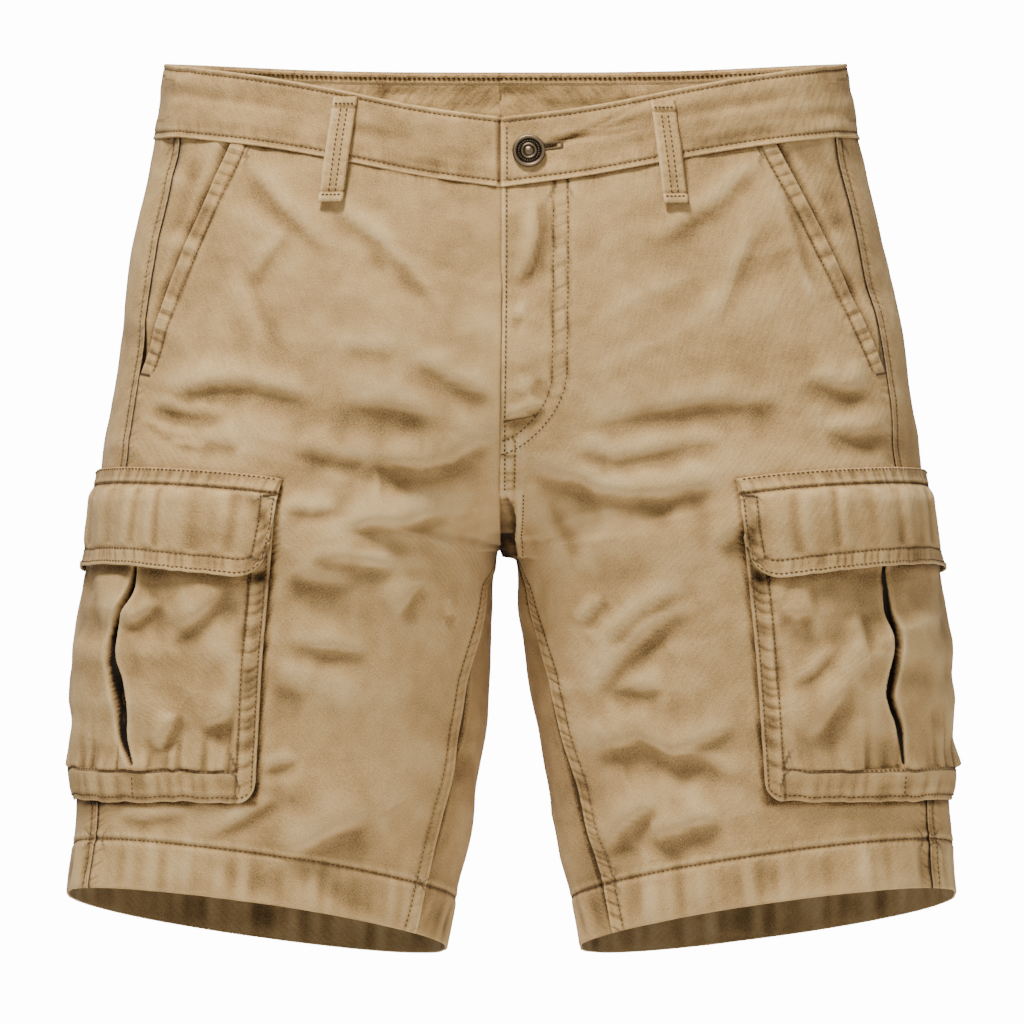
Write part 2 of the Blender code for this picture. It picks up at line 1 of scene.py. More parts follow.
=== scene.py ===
"""Looks of a pair of cargo shorts: the cloth with its folds and seams, the sewing, the button and the zip.

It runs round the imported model, whose nodes it replaces piece by piece. Every piece of cloth is a
thin shell on one surface, "the body". A place on it is a side (+1 the wearer's left, -1 the right),
a row, named by its height at the side of the hip, and the distance along that row from the outseam,
positive to the front and negative to the back. The front faces -Y. Sizes and places are in
millimetres, and MM turns them into metres. Relief is positive outwards.
"""

import math

import bmesh
import bpy
import numpy as np
from bpy.props import FloatProperty, FloatVectorProperty, PointerProperty
from mathutils import Matrix, Vector


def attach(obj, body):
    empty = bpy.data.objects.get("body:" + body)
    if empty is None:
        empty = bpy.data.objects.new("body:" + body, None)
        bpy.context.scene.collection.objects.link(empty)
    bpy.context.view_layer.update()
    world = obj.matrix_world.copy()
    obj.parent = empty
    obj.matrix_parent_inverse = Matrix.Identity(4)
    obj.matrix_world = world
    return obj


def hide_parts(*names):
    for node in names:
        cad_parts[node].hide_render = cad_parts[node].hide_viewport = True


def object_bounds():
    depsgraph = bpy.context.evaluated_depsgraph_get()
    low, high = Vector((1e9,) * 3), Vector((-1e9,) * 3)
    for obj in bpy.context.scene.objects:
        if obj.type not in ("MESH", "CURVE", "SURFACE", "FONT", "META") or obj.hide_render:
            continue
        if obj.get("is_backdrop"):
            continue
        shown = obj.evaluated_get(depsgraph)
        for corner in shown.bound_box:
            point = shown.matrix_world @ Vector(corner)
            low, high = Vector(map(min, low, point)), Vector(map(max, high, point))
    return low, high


bl_info = {
    "name": "Cargo shorts",
    "version": (1, 0, 0),
    "blender": (4, 5, 0),
    "location": "3D View > Sidebar > Shorts",
    "description": "Dresses the packed model of the shorts in cloth, thread and metal",
    "category": "Object",
}

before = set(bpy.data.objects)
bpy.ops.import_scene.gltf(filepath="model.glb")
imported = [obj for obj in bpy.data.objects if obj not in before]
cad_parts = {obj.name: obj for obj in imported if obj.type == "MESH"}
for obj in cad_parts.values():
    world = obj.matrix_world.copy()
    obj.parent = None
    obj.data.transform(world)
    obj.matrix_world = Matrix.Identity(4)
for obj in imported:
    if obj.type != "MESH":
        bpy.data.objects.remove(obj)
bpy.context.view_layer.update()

MM = 0.001

# ---------------------------------------------------------------- sizes of the body

# side: height of the row at the side. half: half width. inner: x of the inner line of the leg.
# front, back: y of the foremost and rearmost points. fall_f, fall_b: how far the row falls from
# the side to the inner edge. leg_f, leg_b: how far that edge has gone from the centre of the torso
# (0) to the fork (1). bow: power of that fall. tilt: how much the row rises to the front.
ROW_COLUMNS = "side half inner front back fall_f fall_b leg_f leg_b bow tilt".split()
ROWS = np.array((
    (-496, 267.0, 40.5, -68.0, 76.0, 31.5, 31.5, 1.00, 1.00, 1.00, 0.175),
    (-451, 263.0, 32.0, -72.0, 81.0, 32.0, 32.0, 1.00, 1.00, 1.00, 0.150),
    (-400, 259.5, 21.0, -78.0, 88.0, 31.0, 31.0, 1.00, 1.00, 1.00, 0.110),
    (-343, 255.5, 12.0, -85.0, 95.0, 29.5, 29.5, 1.00, 1.00, 1.00, 0.070),
    (-300, 251.0, 7.0, -91.0, 102.0, 28.0, 28.0, 1.00, 1.00, 1.00, 0.030),
    (-276, 248.6, 3.4, -94.8, 105.8, 27.1, 27.1, 1.00, 1.00, 1.00, 0.009),
    (-262, 247.2, 0.1, -97.0, 108.0, 27.0, 27.0, 1.00, 1.00, 1.00, 0.000),
    (-240, 245.5, 0.1, -100.0, 111.0, 43.0, 47.0, 0.72, 0.75, 1.05, 0.000),
    (-218, 243.0, 0.1, -102.0, 113.0, 52.0, 59.0, 0.42, 0.50, 1.10, 0.000),
    (-196, 240.0, 0.1, -103.0, 114.0, 52.0, 62.0, 0.20, 0.28, 1.10, 0.000),
    (-174, 236.5, 0.1, -103.0, 114.0, 46.0, 58.0, 0.07, 0.13, 1.05, 0.000),
    (-141, 231.5, 0.1, -102.0, 112.0, 41.0, 49.0, 0.00, 0.03, 1.00, 0.000),
    (-87, 221.0, 0.1, -98.0, 106.0, 32.0, 25.0, 0.00, 0.00, 0.90, 0.000),
    (-43, 210.5, 0.1, -92.5, 98.0, 31.0, 1.0, 0.00, 0.00, 0.83, 0.000),
    (0, 204.0, 0.1, -88.0, 94.0, 32.0, -0.6, 0.00, 0.00, 0.70, 0.000),
))
HEM, FORK_ROW, WAIST_SEAM, TOP_EDGE = -496.0, -262.0, -43.0, 0.0  # rows
SIDE_Y, FORK_Y = 5.0, 10.0  # of the widest points and of the fork
OUTSEAM_IN = 15.5  # how far in from the widest points the outseams lie
TORSO_POWER, LEG_POWER = 2.35, 2.2
# How far round a leg the inseam lies, in degrees from its outer side, at some rows.
INSEAM_ROWS, INSEAM_ANGLES = (HEM, -343.0, -285.0, FORK_ROW), (145.0, 153.0, 162.0, 180.0)
# How far to the left the middle lies, at some heights. The shift fades away from the middle.
MIDDLE_HEIGHTS = (-430.0, -343.0, -319.0, -289.0, -215.0, -40.0, 0.0)
MIDDLE_SHIFTS = (0.0, -2.7, -3.9, -6.6, -6.5, -3.0, -3.0)
MIDDLE_SPREAD = 70.0
# The gap between the legs starts wide: below what height, and how far each leg is pushed away.
FORK_HEIGHTS, FORK_PUSHES, FORK_REACH = {-1: -289.0, 1: -293.5}, {-1: 1.5, 1: 7.0}, 12.0
FORK_PUSH_START, FORK_PUSH_END, FORK_PUSH_FADE = 1.2, -335.0, 40.0
MIDDLE_HELD = 6.0  # how close to the middle a point moves straight forward or back
MIDDLE_LAP, BAND_LAP = 0.8, 1.2  # of the left side over the right, and of the band over the panels
LEAN, LEAN_DEPTH = 3.6, 220.0
SWAY, SWAY_FROM = 1.4, -200.0
BACK_LIFT = 3.4  # how much higher the top edge stands beside the middle of the back
SEAM_GAP = 0.02
SHELL_GAP = 0.04  # between the edges of the shells of a front and a back

# ---------------------------------------------------------------- sizes of the pieces

PANEL_WALL, BAND_WALL, POCKET_WALL, FLAP_WALL, LOOP_WALL = 1.3, 2.4, 1.2, 1.7, 1.5
BAND_PROUD = 0.8
HEM_DEPTH, HEM_RISE = 30.0, 0.5
SLANT_END, SLANT_WIDTHS = -186.0, {-1: 39.0, 1: 44.0}
FACING_UNDER, FACING_SUNK = 26.0, 2.8
SLANT_STITCH, OUTSEAM_STITCH, INSEAM_STITCH = 10.5, 6.5, 8.8
FLY_END = -214.0  # the height where the zip and the shield end
FLY_ROW_END = -169.0  # the row that passes the lower end of the fly's stitches
CENTRE_END = -221.0  # the row where the puckers of the centre seam in front end
FLY_TURN, FLY_FOOT = -146.0, -184.0  # rows where the fly's outer curve starts and ends
FLY_ROWS = (30.0, 38.4)  # the fly's curved rows of stitches, from the front edge
HOLLOW_TOP, HOLLOW_FOOT, HOLLOW_WIDTH = -250.0, -345.0, 9.6
POCKET_FRONT, POCKET_BACK, POCKET_BOTTOM, POCKET_TOP = 102.0, -95.0, -439.0, -262.0
POCKET_CORNER, POCKET_FOOT = 12.0, 2.0
POCKET_STANDS = ((-439.0, 3.2), (-425.0, 5.0), (-390.0, 7.0), (-345.0, 7.3), (-300.0, 5.6), (-242.0, 3.6))
POCKET_BORDER, POCKET_BAND = 11.5, 19.0
POCKET_EDGE_STITCH = 2.4
# The gap of each pocket's pleat: x, height and half width.
PLEATS = {
    -1: ((-226, -299, 0.6), (-228, -314, 1.5), (-235, -331, 1.6), (-238, -354, 2.4), (-236, -367, 3.4),
         (-234, -380, 3.3), (-233, -404, 1.8), (-228, -417, 0.4)),
    1: ((225, -301, 1.0), (227, -322, 2.2), (232, -347, 2.8), (230, -362, 2.9), (228, -374, 2.6),
        (235, -398, 2.0), (237, -416, 0.5)),
}
PLEAT_FLOOR, PLEAT_SHIFT, PLEAT_WIDER = 1.5, 5.5, {-1: 1.4, 1: 1.0}
# How far each pocket's front edge lies forward of its place: heights and distances.
POCKET_SHIFTS = {-1: ((-439, -298, -242), (0.5, 3.5, 5.0)), 1: ((-439, -298, -242), (3.5, 7.0, 8.0))}
FLAP_SHIFTS = {-1: ((0, 0.5, 1), (-1.0, 3.0, 5.0)), 1: ((0, 0.5, 1), (3.5, 6.5, 7.5))}  # up each flap
FLAP_FRONT, FLAP_BACK, FLAP_TOP, FLAP_BOTTOM = 104.0, -97.0, -242.0, -301.0
FLAP_TALL = FLAP_TOP - FLAP_BOTTOM
FLAP_CORNER, FLAP_BOW, FLAP_DROP = 18.0, 8.0, 5.0
FLAP_CLEAR = 0.9  # between the flap and what it lies on
# Upright folds in each flap: distance along it, half width and depth.
FLAP_FOLDS = {
    -1: ((17, 3.5, 1.7), (35, 3.0, 1.3), (57, 5.0, 1.2), (79, 4.0, 1.4),
         (-2, 5.0, 1.3), (-30, 5.0, 1.5), (-62, 5.0, 1.2)),
    1: ((12, 4.0, 1.5), (31, 5.0, 1.3), (52, 3.0, 1.6), (75, 4.0, 1.2),
        (-9, 4.0, 1.2), (-28, 5.0, 1.4), (-58, 4.0, 1.4)),
}
FLAP_SEWN = 9.6  # depth of the sewn strip along the flap's top
FLAP_BORDER, FLAP_EDGE_STITCH = 10.0, 2.4
BAND_TALL = -WAIST_SEAM
BAND_ROWS = (3.8, 39.8)  # stitch rows above the waist seam
# Creases that spread over the band from the button: fall for each millimetre to the left, height there.
BAND_CREASES, BAND_CREASE_FROM = ((-0.32, 19.0), (-0.14, 22.0), (0.05, 26.0)), 20.0
LOOP_WIDTH, LOOP_GAP, LOOP_ARCH = 14.5, 1.5, 1.6
LOOP_LENGTH = 63.0  # about, to space the grid and the puckers of every loop
# Belt loops: node, x and height of the upper end, of the lower end, and -1 in front or 1 at the back.
LOOPS = (
    ("belt_loop_front_right", -97.8, -20.0, -106.5, -83.0, -1),
    ("belt_loop_front_left", 89.7, -22.5, 97.5, -84.0, -1),
    ("belt_loop_back_right", -104.0, -3.5, -108.0, -66.0, 1),
    ("belt_loop_back_left", 98.0, -3.5, 102.0, -66.0, 1),
    ("belt_loop_centre_back", -6.0, -4.5, -6.0, -68.0, 1),
)
BUTTON_X, BUTTON_HEIGHT, BUTTON_RADIUS, BUTTON_STANDS, SHANK_RADIUS = 10.6, -52.4, 9.8, 0.5, 1.5
BUTTON_DOTS, DOT_RADIUS, DOT_RING_IN, DOT_HEIGHT = 26, 0.55, 3.8, 1.65
BUTTONHOLE = (7.0, 34.0, 2.4)  # from the band's front end to its two ends, and how tall it is
BUTTONHOLE_MIDDLE = 21.5  # above the waist seam
STITCH_PROUD = 0.08  # how far out of the cloth the middle of a stitch lies
TACK_PITCH, FLY_TACK_PITCH, HOLE_PITCH = 0.8, 0.9, 0.62  # of bartacks and of the buttonhole
PUCKER_SPACING, PUCKER_NARROW = 8.0, 5.5  # of the puckers along a seam
APART = 100.0  # runs of puckers start whole multiples of this apart, so that neighbours differ
UNDERLAP, UNDERLAP_STEP, UNDERLAP_GAP = 46.0, 5.0, 0.9
FLY_TOP, FLY_SHIELD, FLY_ZIP = -76.0, (-9.0, 40.0), (-14.0, 14.0)
ZIP_SUNK, ZIP_WALL, SHIELD_SUNK, SHIELD_WALL = 2.2, 1.2, 4.2, 1.4
# The zip's parts have their sizes in x, y and z. Slider and stop lie this far inside the tape's ends.
ZIP_PITCH, ZIP_TOOTH, ZIP_CHAMFER = 1.25, (3.4, 0.9, 0.75), 0.22
ZIP_SLIDER, ZIP_SLIDER_IN, ZIP_STOP, ZIP_STOP_IN = (7.0, 1.2, 8.5), 11.0, (5.0, 1.1, 3.0), 5.0

CUT_STEP = 7  # a piece's cut is measured over every so many rows and columns of its grid

# ---------------------------------------------------------------- folds in the cloth

FOLD_SPREAD, FOLD_DEPTH = 1.25, 1.35  # by how much every half width and depth below is multiplied
POCKET_FOLD_DEPTH = 1.25  # and the depths of the folds in the pockets once more
RIDGE_SIDE = (-0.55, 0.83)  # x and z: on which side of its line a fold has its ridge
# Half width, depth, and the x and height of points along each.
FRONT_FOLDS = (
    (4.8, 2.8, ((-213, -190), (-197, -194), (-182, -195), (-167, -193), (-153, -193),
                (-136, -196), (-112, -199))),
    (3.6, 1.7, ((-218, -201), (-207, -205), (-194, -209), (-180, -210), (-168, -208))),
    (1.2, 0.45, ((-224, -210), (-202, -220), (-185, -222))),
    (1.2, 0.35, ((-219, -214), (-199, -225), (-178, -230))),
    (3.6, 1.0, ((-187, -226), (-160, -227))),
    (5.4, 1.8, ((-130, -228), (-112, -233), (-95, -235), (-81, -233))),
    (3.6, 1.5, ((-139, -265), (-118, -268), (-100, -266))),
    (4.2, 2.0, ((-121, -294), (-106, -296), (-87, -298), (-64, -300))),
    (6.0, 1.8, ((-136, -304), (-115, -310), (-91, -312))),
    (4.8, 1.6, ((-136, -344), (-106, -349), (-80, -353))),
    (4.8, 0.9, ((-103, -169), (-66, -174))),
    (5.4, 1.5, ((-60, -175), (-39, -189), (-23, -196), (-7, -199))),
    (4.8, 1.5, ((-103, -205), (-72, -206), (-41, -214))),
    (5.4, 3.4, ((-91, -245), (-80, -239), (-53, -243), (-34, -239), (-19, -228), (-10, -224))),
    (5.4, 3.4, ((-100, -280), (-84, -276), (-60, -274), (-34, -270))),
    (3.6, 1.5, ((-68, -330), (-59, -320), (-51, -308))),
    (2.4, 0.8, ((-40, -328), (-33, -327))),
    (5.4, 2.2, ((173, -205), (125, -202), (88, -208), (56, -214), (44, -218))),
    (6.0, 3.0, ((5, -236), (14, -242), (32, -249), (50, -255), (88, -256), (134, -253))),
    (3.6, 1.2, ((20, -260), (29, -281), (36, -298))),
    (3.0, 1.3, ((42, -335), (56, -317))),
    (4.8, 2.4, ((173, -186), (194, -194), (214, -198))),
    (4.2, 2.0, ((185, -217), (206, -221), (227, -223))),
    (5.4, 2.6, ((47, -379), (62, -360), (86, -337), (113, -326))),
    (4.2, 1.6, ((55, -352), (77, -325), (107, -313))),
    (6.0, 3.0, ((77, -464), (101, -458), (127, -450))),
    (5.4, 2.6, ((47, -418), (60, -408), (76, -404), (101, -414), (140, -426))),
    (4.8, 2.4, ((58, -474), (66, -458), (78, -446), (90, -441))),
    (4.0, 1.4, ((57, -375), (72, -372), (92, -373))),
    (4.8, 2.0, ((32, -228), (60, -234), (96, -230), (128, -224))),
    (4.8, 1.6, ((120, -292), (140, -276), (152, -262))),
    (5.4, 1.8, ((89, -415), (113, -404), (137, -396))),
    (4.2, 1.3, ((-160, -58), (-142, -79), (-109, -115))),
    (4.2, 1.3, ((149, -55), (125, -82), (83, -109))),
    (3.4, 0.8, ((-112, -80), (-79, -108), (-71, -129))),
    (3.4, 0.8, ((-157, -133), (-145, -116), (-132, -98))),
    (3.4, 0.8, ((-96, -88), (-62, -122), (-40, -150))),
    (3.0, 0.8, ((160, -70), (172, -112), (186, -146))),
    (3.4, 0.8, ((150, -96), (132, -130), (120, -160))),
    (4.0, 1.4, ((-166, -250), (-150, -262), (-140, -282))),
    (4.8, 0.9, ((-163, -115), (-149, -151), (-133, -175))),
    (3.0, 1.2, ((-234, -448), (-219, -451), (-205, -448), (-192, -445))),
    (3.0, 1.2, ((-179, -461), (-166, -452), (-154, -445), (-136, -437))),
    (7.2, 3.4, ((-139, -477), (-118, -467), (-99, -457), (-80, -447))),
    (5.4, 1.0, ((-142, -368), (-118, -374))),
    (2.4, 0.9, ((-148, -422), (-139, -417), (-126, -413))),
    (3.0, 1.8, ((15, -79), (17, -103), (13, -120), (2, -133))),
    (3.0, 1.2, ((15, -185), (11, -199))),
    (2.4, 1.8, ((20, -203), (8, -210), (-5, -214))),
    (2.4, 1.0, ((1, -150), (8, -152))),
)
BACK_FOLDS = (
    (6.0, 3.2, ((-18, -262), (-66, -252), (-120, -232))),
    (5.4, 3.0, ((-26, -292), (-84, -286), (-150, -268))),
    (6.0, 3.2, ((22, -258), (70, -250), (128, -236))),
    (5.4, 2.8, ((30, -296), (92, -284), (146, -262))),
    (5.4, 2.2, ((-60, -356), (-96, -350), (-128, -334))),
    (5.4, 2.2, ((66, -372), (100, -362), (132, -346))),
    (6.0, 2.6, ((-70, -446), (-104, -440), (-136, -424))),
    (6.0, 2.2, ((82, -438), (112, -432), (138, -420))),
    (6.0, 2.2, ((-150, -96), (-122, -116), (-86, -150))),
    (6.0, 2.2, ((146, -90), (118, -118), (92, -146))),
    (5.4, 1.8, ((-10, -120), (-28, -138), (-52, -160))),
    (5.4, 1.8, ((14, -124), (32, -146), (58, -168))),
    (3.6, 1.2, ((-196, -196), (-160, -204), (-128, -200))),
    (3.6, 1.2, ((188, -190), (158, -202), (120, -204))),
    (4.2, 1.4, ((-96, -300), (-80, -322), (-72, -340))),
    (4.2, 1.4, ((84, -306), (70, -326), (64, -340))),
)
POCKET_FOLDS = (
    (4.0, 1.8, ((-230, -337), (-215, -327), (-207, -320))),
    (5.0, 2.2, ((-203, -347), (-187, -332), (-173, -320), (-165, -311))),
    (3.5, 2.0, ((-197, -386), (-203, -400), (-207, -410))),
    (4.5, 1.6, ((-185, -398), (-170, -389), (-160, -384))),
    (3.0, 1.6, ((207, -325), (211, -340), (213, -352))),
    (4.5, 1.8, ((158, -324), (170, -330), (182, -328))),
    (5.0, 2.0, ((176, -404), (190, -388), (205, -368))),
    (4.0, 1.4, ((165, -372), (180, -362), (196, -346))),
)

# ---------------------------------------------------------------- looks

# How far its relief lightens the cloth on ridges, by wear, and darkens it in hollows, as painted shade:
# steps of the grid, the relief that counts in full, the share.
WEAR_AND_HOLLOW_SHADE = ((2, 0.22, 0.2), (8, 1.2, 0.11))
PLAIN_LEVEL, TONE_SHARE = 0.55, 0.4  # the plain colour's place on the ramp, and how far a tone of 1 moves it
YARN_ACROSS, YARN_ALONG = 1900.0, 800.0  # how fine the yarns' noise is, for each metre
TWILL_WAVE = 0.44443  # a wave texture's scale for ribs one unit apart, measured across them
# Painted light and shade: the waistband's inside is a lit copy of the cloth, the legs' inside a shaded copy.
BAND_INSIDE_PAINTED_LIGHT, LEG_INSIDE_PAINTED_SHADE = 1.45, 0.46  # how bright the inside is beside the outer side
# Dark, worn and roughness.
ZIP_BRASS = ((0.16, 0.11, 0.05), (0.55, 0.42, 0.22), 0.32)
ANTIQUE_BRASS = ((0.014, 0.009, 0.005), (0.20, 0.14, 0.08), 0.36)

# ---------------------------------------------------------------- the studio, in metres and watts

VIEW_MIDDLE, VIEW_WIDTH, VIEW_DISTANCE = (0.0006, -0.2664), 0.6144, 8.0
LIT_POINT = (0.0, 0.0, -0.25)
# name, place, diameter, power
STUDIO_LIGHTS = (
    ("key", (-0.45, -0.95, 1.9), 0.5, 117.0),
    ("front", (-0.4, -3.2, 0.5), 1.6, 5.0),
    ("fill", (2.2, -1.5, 0.3), 1.4, 13.0),
    ("top", (0.2, 0.3, 2.2), 1.0, 20.0),
    ("back", (0.6, 1.6, 1.0), 1.2, 8.0),
)
ROOM_LIGHT, BACKGROUND = 0.07, 14.0  # how bright the room is on the shorts, and behind them
FLOOR_SIZE = 6.0
FLOOR_BELOW = 0.2  # how far below the hems it lies: the shorts hang as high as a wearer holds them


# ---------------------------------------------------------------- the body's surface

def smooth(at, knots, values):
    """A smooth curve through the values at the knots."""
    slopes = np.gradient(values, knots)
    at = np.clip(at, knots[0], knots[-1])
    i = np.clip(np.searchsorted(knots, at) - 1, 0, len(knots) - 2)
    span = knots[i + 1] - knots[i]
    t = (at - knots[i]) / span
    return (
        values[i] * (1 + 2 * t) * (1 - t) ** 2
        + slopes[i] * span * t * (1 - t) ** 2
        + values[i + 1] * t * t * (3 - 2 * t)
        - slopes[i + 1] * span * t * t * (1 - t)
    )


def ease(t):
    """0 to 1 along a smooth step."""
    t = np.clip(t, 0.0, 1.0)
    return t * t * (3 - 2 * t)


def bump(distance, half_width):
    """1 at a line, falling to nothing a few half widths away from it."""
    return np.exp(-((distance / half_width) ** 2))


def by_length(points, count):
    """Each row of points again, as count points evenly spaced along it, and the rows' lengths."""
    steps = np.linalg.norm(np.diff(points, axis=1), axis=2)
    along = np.concatenate([np.zeros((len(points), 1)), np.cumsum(steps, axis=1)], axis=1)
    even = np.empty((len(points), count, points.shape[2]))
    for row, (line, length) in enumerate(zip(points, along)):
        wanted = np.linspace(0, length[-1], count)
        for axis in range(points.shape[2]):
            even[row, :, axis] = np.interp(wanted, length, line[:, axis])
    return even, along[:, -1]


def superellipse(angle, power, middle, radius, front, back):
    """x and y round a superellipse; the angle is 0 at the side and 90 degrees at the front."""
    c, s = np.cos(angle), np.sin(angle)
    x = middle + radius * np.sign(c) * np.abs(c) ** (2 / power)
    depth = np.where(s > 0, front, back) - SIDE_Y
    return np.stack([x, SIDE_Y + depth * np.abs(s) ** (2 / power)], axis=-1)


class Body:
    """The surface as a fine table of points and outward normals, on the wearer's left side."""

    step, samples, outline_samples = 2.0, 181, 241  # between rows, and of points along each row

    def __init__(self):
        self.heights = np.arange(HEM, TOP_EDGE + 0.1, self.step)
        knots = ROWS[:, 0]
        self.row = {
            name: smooth(self.heights, knots, ROWS[:, i])[:, None]
            for i, name in enumerate(ROW_COLUMNS)
        }
        self.front, self.front_normals, self.front_lengths = self.panel(front=True)
        self.back, self.back_normals, self.back_lengths = self.panel(front=False)

    def panel(self, front):
        r, t = self.row, np.linspace(0, 1, self.outline_samples)[None, :]
        inner = np.clip(r["inner"], 0.0, None)
        start = np.arccos((1 - OUTSEAM_IN / r["half"]) ** (TORSO_POWER / 2))
        end = math.pi / 2 if front else -math.pi / 2
        torso, _ = by_length(
            superellipse(
                start + (end - start) * t, TORSO_POWER, 0.0, r["half"], r["front"], r["back"]
            ),
            self.outline_samples,
        )
        radius = (r["half"] - inner) / 2
        start = np.arccos((1 - OUTSEAM_IN / radius) ** (LEG_POWER / 2))
        seam = np.interp(self.heights, INSEAM_ROWS, INSEAM_ANGLES)[:, None]
        end = np.radians(seam if front else seam - 360.0)
        leg, _ = by_length(
            superellipse(
                start + (end - start) * t, LEG_POWER, inner + radius, radius, r["front"], r["back"]
            ),
            self.outline_samples,
        )
        away = ease(t * 1.2)
        share = self.towards("leg", front, away)
        up_band = ease((self.heights[:, None] - WAIST_SEAM) / BAND_TALL)
        if not front:
            away = ease(t * (1.2 + 9.0 * up_band))
        fall = self.towards("fall", front, away)
        flat = (1 - share)[..., None] * torso + share[..., None] * leg
        flat[..., 1] += share * (FORK_Y - SIDE_Y) * ease(2.2 * t - 1.2)
        edge = r["half"] - (OUTSEAM_IN if front else 0.0)
        across_torso = np.clip((edge - torso[..., 0]) / edge, 0.0, 1.0)
        if not front:
            across_torso = np.where(torso[..., 1] < SIDE_Y, 0.0, across_torso)
        across_leg = (r["half"] - leg[..., 0]) / (r["half"] - inner)
        down = (1 - share) * across_torso ** r["bow"] + share * across_leg
        height = r["side"] - fall * down - r["tilt"] * (flat[..., 1] - SIDE_Y)
        if not front:
            height = height + BACK_LIFT * ease(t * 9) * bump(t - 0.3, 0.28) * up_band
        points, lengths = by_length(np.concatenate([flat, height[..., None]], axis=2), self.samples)
        points[..., 0] = np.clip(points[..., 0], SEAM_GAP / 2, None)
        across, up = np.gradient(points, axis=1), np.gradient(points, axis=0)
        normals = np.cross(up, across) if front else np.cross(across, up)
        normals /= np.linalg.norm(normals, axis=2, keepdims=True)
        return points, normals, lengths

    def towards(self, name, front, away):
        """A column that has the mean of front and back at the outseam, and its own value inside."""
        mean = (self.row[name + "_f"] + self.row[name + "_b"]) / 2
        own = self.row[name + ("_f" if front else "_b")]
        return mean + (own - mean) * away

    def length(self, row, front):
        """The length of a row from the outseam to the inner edge."""
        lengths = self.front_lengths if front else self.back_lengths
        return np.interp(row, self.heights, lengths)

    def lookup(self, table, row, share):
        i = np.clip((row - HEM) / self.step, 0, len(self.heights) - 1.001)
        j = np.clip(share, 0, 1) * (self.samples - 1.001)
        i0, j0 = i.astype(int), j.astype(int)
        a, b = (i - i0)[..., None], (j - j0)[..., None]
        return (
            table[i0, j0] * (1 - a) * (1 - b) + table[i0 + 1, j0] * a * (1 - b)
            + table[i0, j0 + 1] * (1 - a) * b + table[i0 + 1, j0 + 1] * a * b
        )

    def at(self, side, row, along, out=0.0, creased=True):
        """The points of a side, moved out along the normals, with the cloth's folds if creased."""
        row, along = np.broadcast_arrays(np.asarray(row, float), np.asarray(along, float))
        in_front = (along >= 0)[..., None]
        front_share = along / self.length(row, True)
        back_share = -along / self.length(row, False)
        points, normals = (
            np.where(in_front, self.lookup(front, row, front_share), self.lookup(back, row, back_share))
            for front, back in ((self.front, self.back), (self.front_normals, self.back_normals))
        )
        normals = normals / np.linalg.norm(normals, axis=-1, keepdims=True)
        if creased:
            out = out + skin(side, row, along, settled(points * (side, 1.0, 1.0)), normals)
        # At the middle a point moves straight forward or back, so that no gap opens there.
        held = [ease(points[..., 0] / MIDDLE_HELD)] + [np.ones(row.shape)] * 2
        normals = normals * np.stack(held, axis=-1)
        points = points + normals * np.asarray(out)[..., None]
        x, z = points[..., 0], points[..., 2]
        push = FORK_PUSHES[side] * ease((FORK_HEIGHTS[side] - z) / FORK_PUSH_START)
        push = push * ease((z - FORK_PUSH_END) / FORK_PUSH_FADE)
        points[..., 0] = side * np.clip(x + push * bump(x, FORK_REACH), SEAM_GAP / 2, None)
        if side > 0:
            points[..., 0] -= MIDDLE_LAP * (1 - ease(points[..., 0] / 2))
        return settled(points)

    def row_at_height(self, side, height, along):
        """The row whose point at this distance along it has this height."""
        height, along = np.broadcast_arrays(np.asarray(height, float), np.asarray(along, float))
        row = height.copy()
        for _ in range(8):
            now = self.at(side, row, along, creased=False)
            row = np.clip(row + height - now[..., 2], HEM, TOP_EDGE)
        return row

    def place_at(self, x, height, face):
        """Side, row and distance along it of the point with this x and height, front or back."""
        x, height = np.broadcast_arrays(np.asarray(x, float), np.asarray(height, float))
        middle = np.interp(height, MIDDLE_HEIGHTS, MIDDLE_SHIFTS) + lean(height)
        side = np.where(x > middle, 1.0, -1.0)
        row = np.clip(height + 25.0, HEM, TOP_EDGE)
        along = self.length(row, face < 0) - np.abs(x - middle)
        for _ in range(30):
            now = self.at_sides(side, row, -face * along, creased=False)
            row = np.clip(row + height - now[..., 2], HEM, TOP_EDGE)
            along = along + 0.7 * side * (now[..., 0] - x)
            along = np.clip(along, 0.0, self.length(row, face < 0))
        return side, row, -face * along

    def at_sides(self, side, row, along, out=0.0, creased=True):
        """As at(), with a side for each point."""
        left = self.at(1, row, along, out, creased)
        right = self.at(-1, row, along, out, creased)
        return np.where((side > 0)[..., None], left, right)


def lean(height):
    """How far a height lies to the left: the upper part leans right, and the legs sway left."""
    upper = LEAN * np.clip(1 + height / LEAN_DEPTH, 0, 1) ** 2
    return SWAY * np.clip((SWAY_FROM - height) / (SWAY_FROM - HEM), 0, 1) - upper


def settled(points):
    """The points with the middle's wander and the lean."""
    middle = np.interp(points[..., 2], MIDDLE_HEIGHTS, MIDDLE_SHIFTS)
    middle = middle * np.exp(-((points[..., 0] / MIDDLE_SPREAD) ** 2))
    shift = middle + lean(points[..., 2])
    return points + shift[..., None] * np.array((1.0, 0.0, 0.0))


# ---------------------------------------------------------------- folds, crumple and puckers

def hashed(i, j, seed):
    """A settled number from 0 to 1 for each whole place."""
    n = np.sin(i * 127.1 + j * 311.7 + seed * 74.7) * 43758.5453
    return n - np.floor(n)


def wander(u, v, seed):
    """Smooth noise from -1 to 1, with a feature for each unit of u and v."""
    u, v = np.broadcast_arrays(np.asarray(u, float), np.asarray(v, float))
    i, j = np.floor(u), np.floor(v)
    a, b = ease(u - i), ease(v - j)
    low = hashed(i, j, seed) * (1 - a) + hashed(i + 1, j, seed) * a
    high = hashed(i, j + 1, seed) * (1 - a) + hashed(i + 1, j + 1, seed) * a
    return 2 * (low * (1 - b) + high * b) - 1


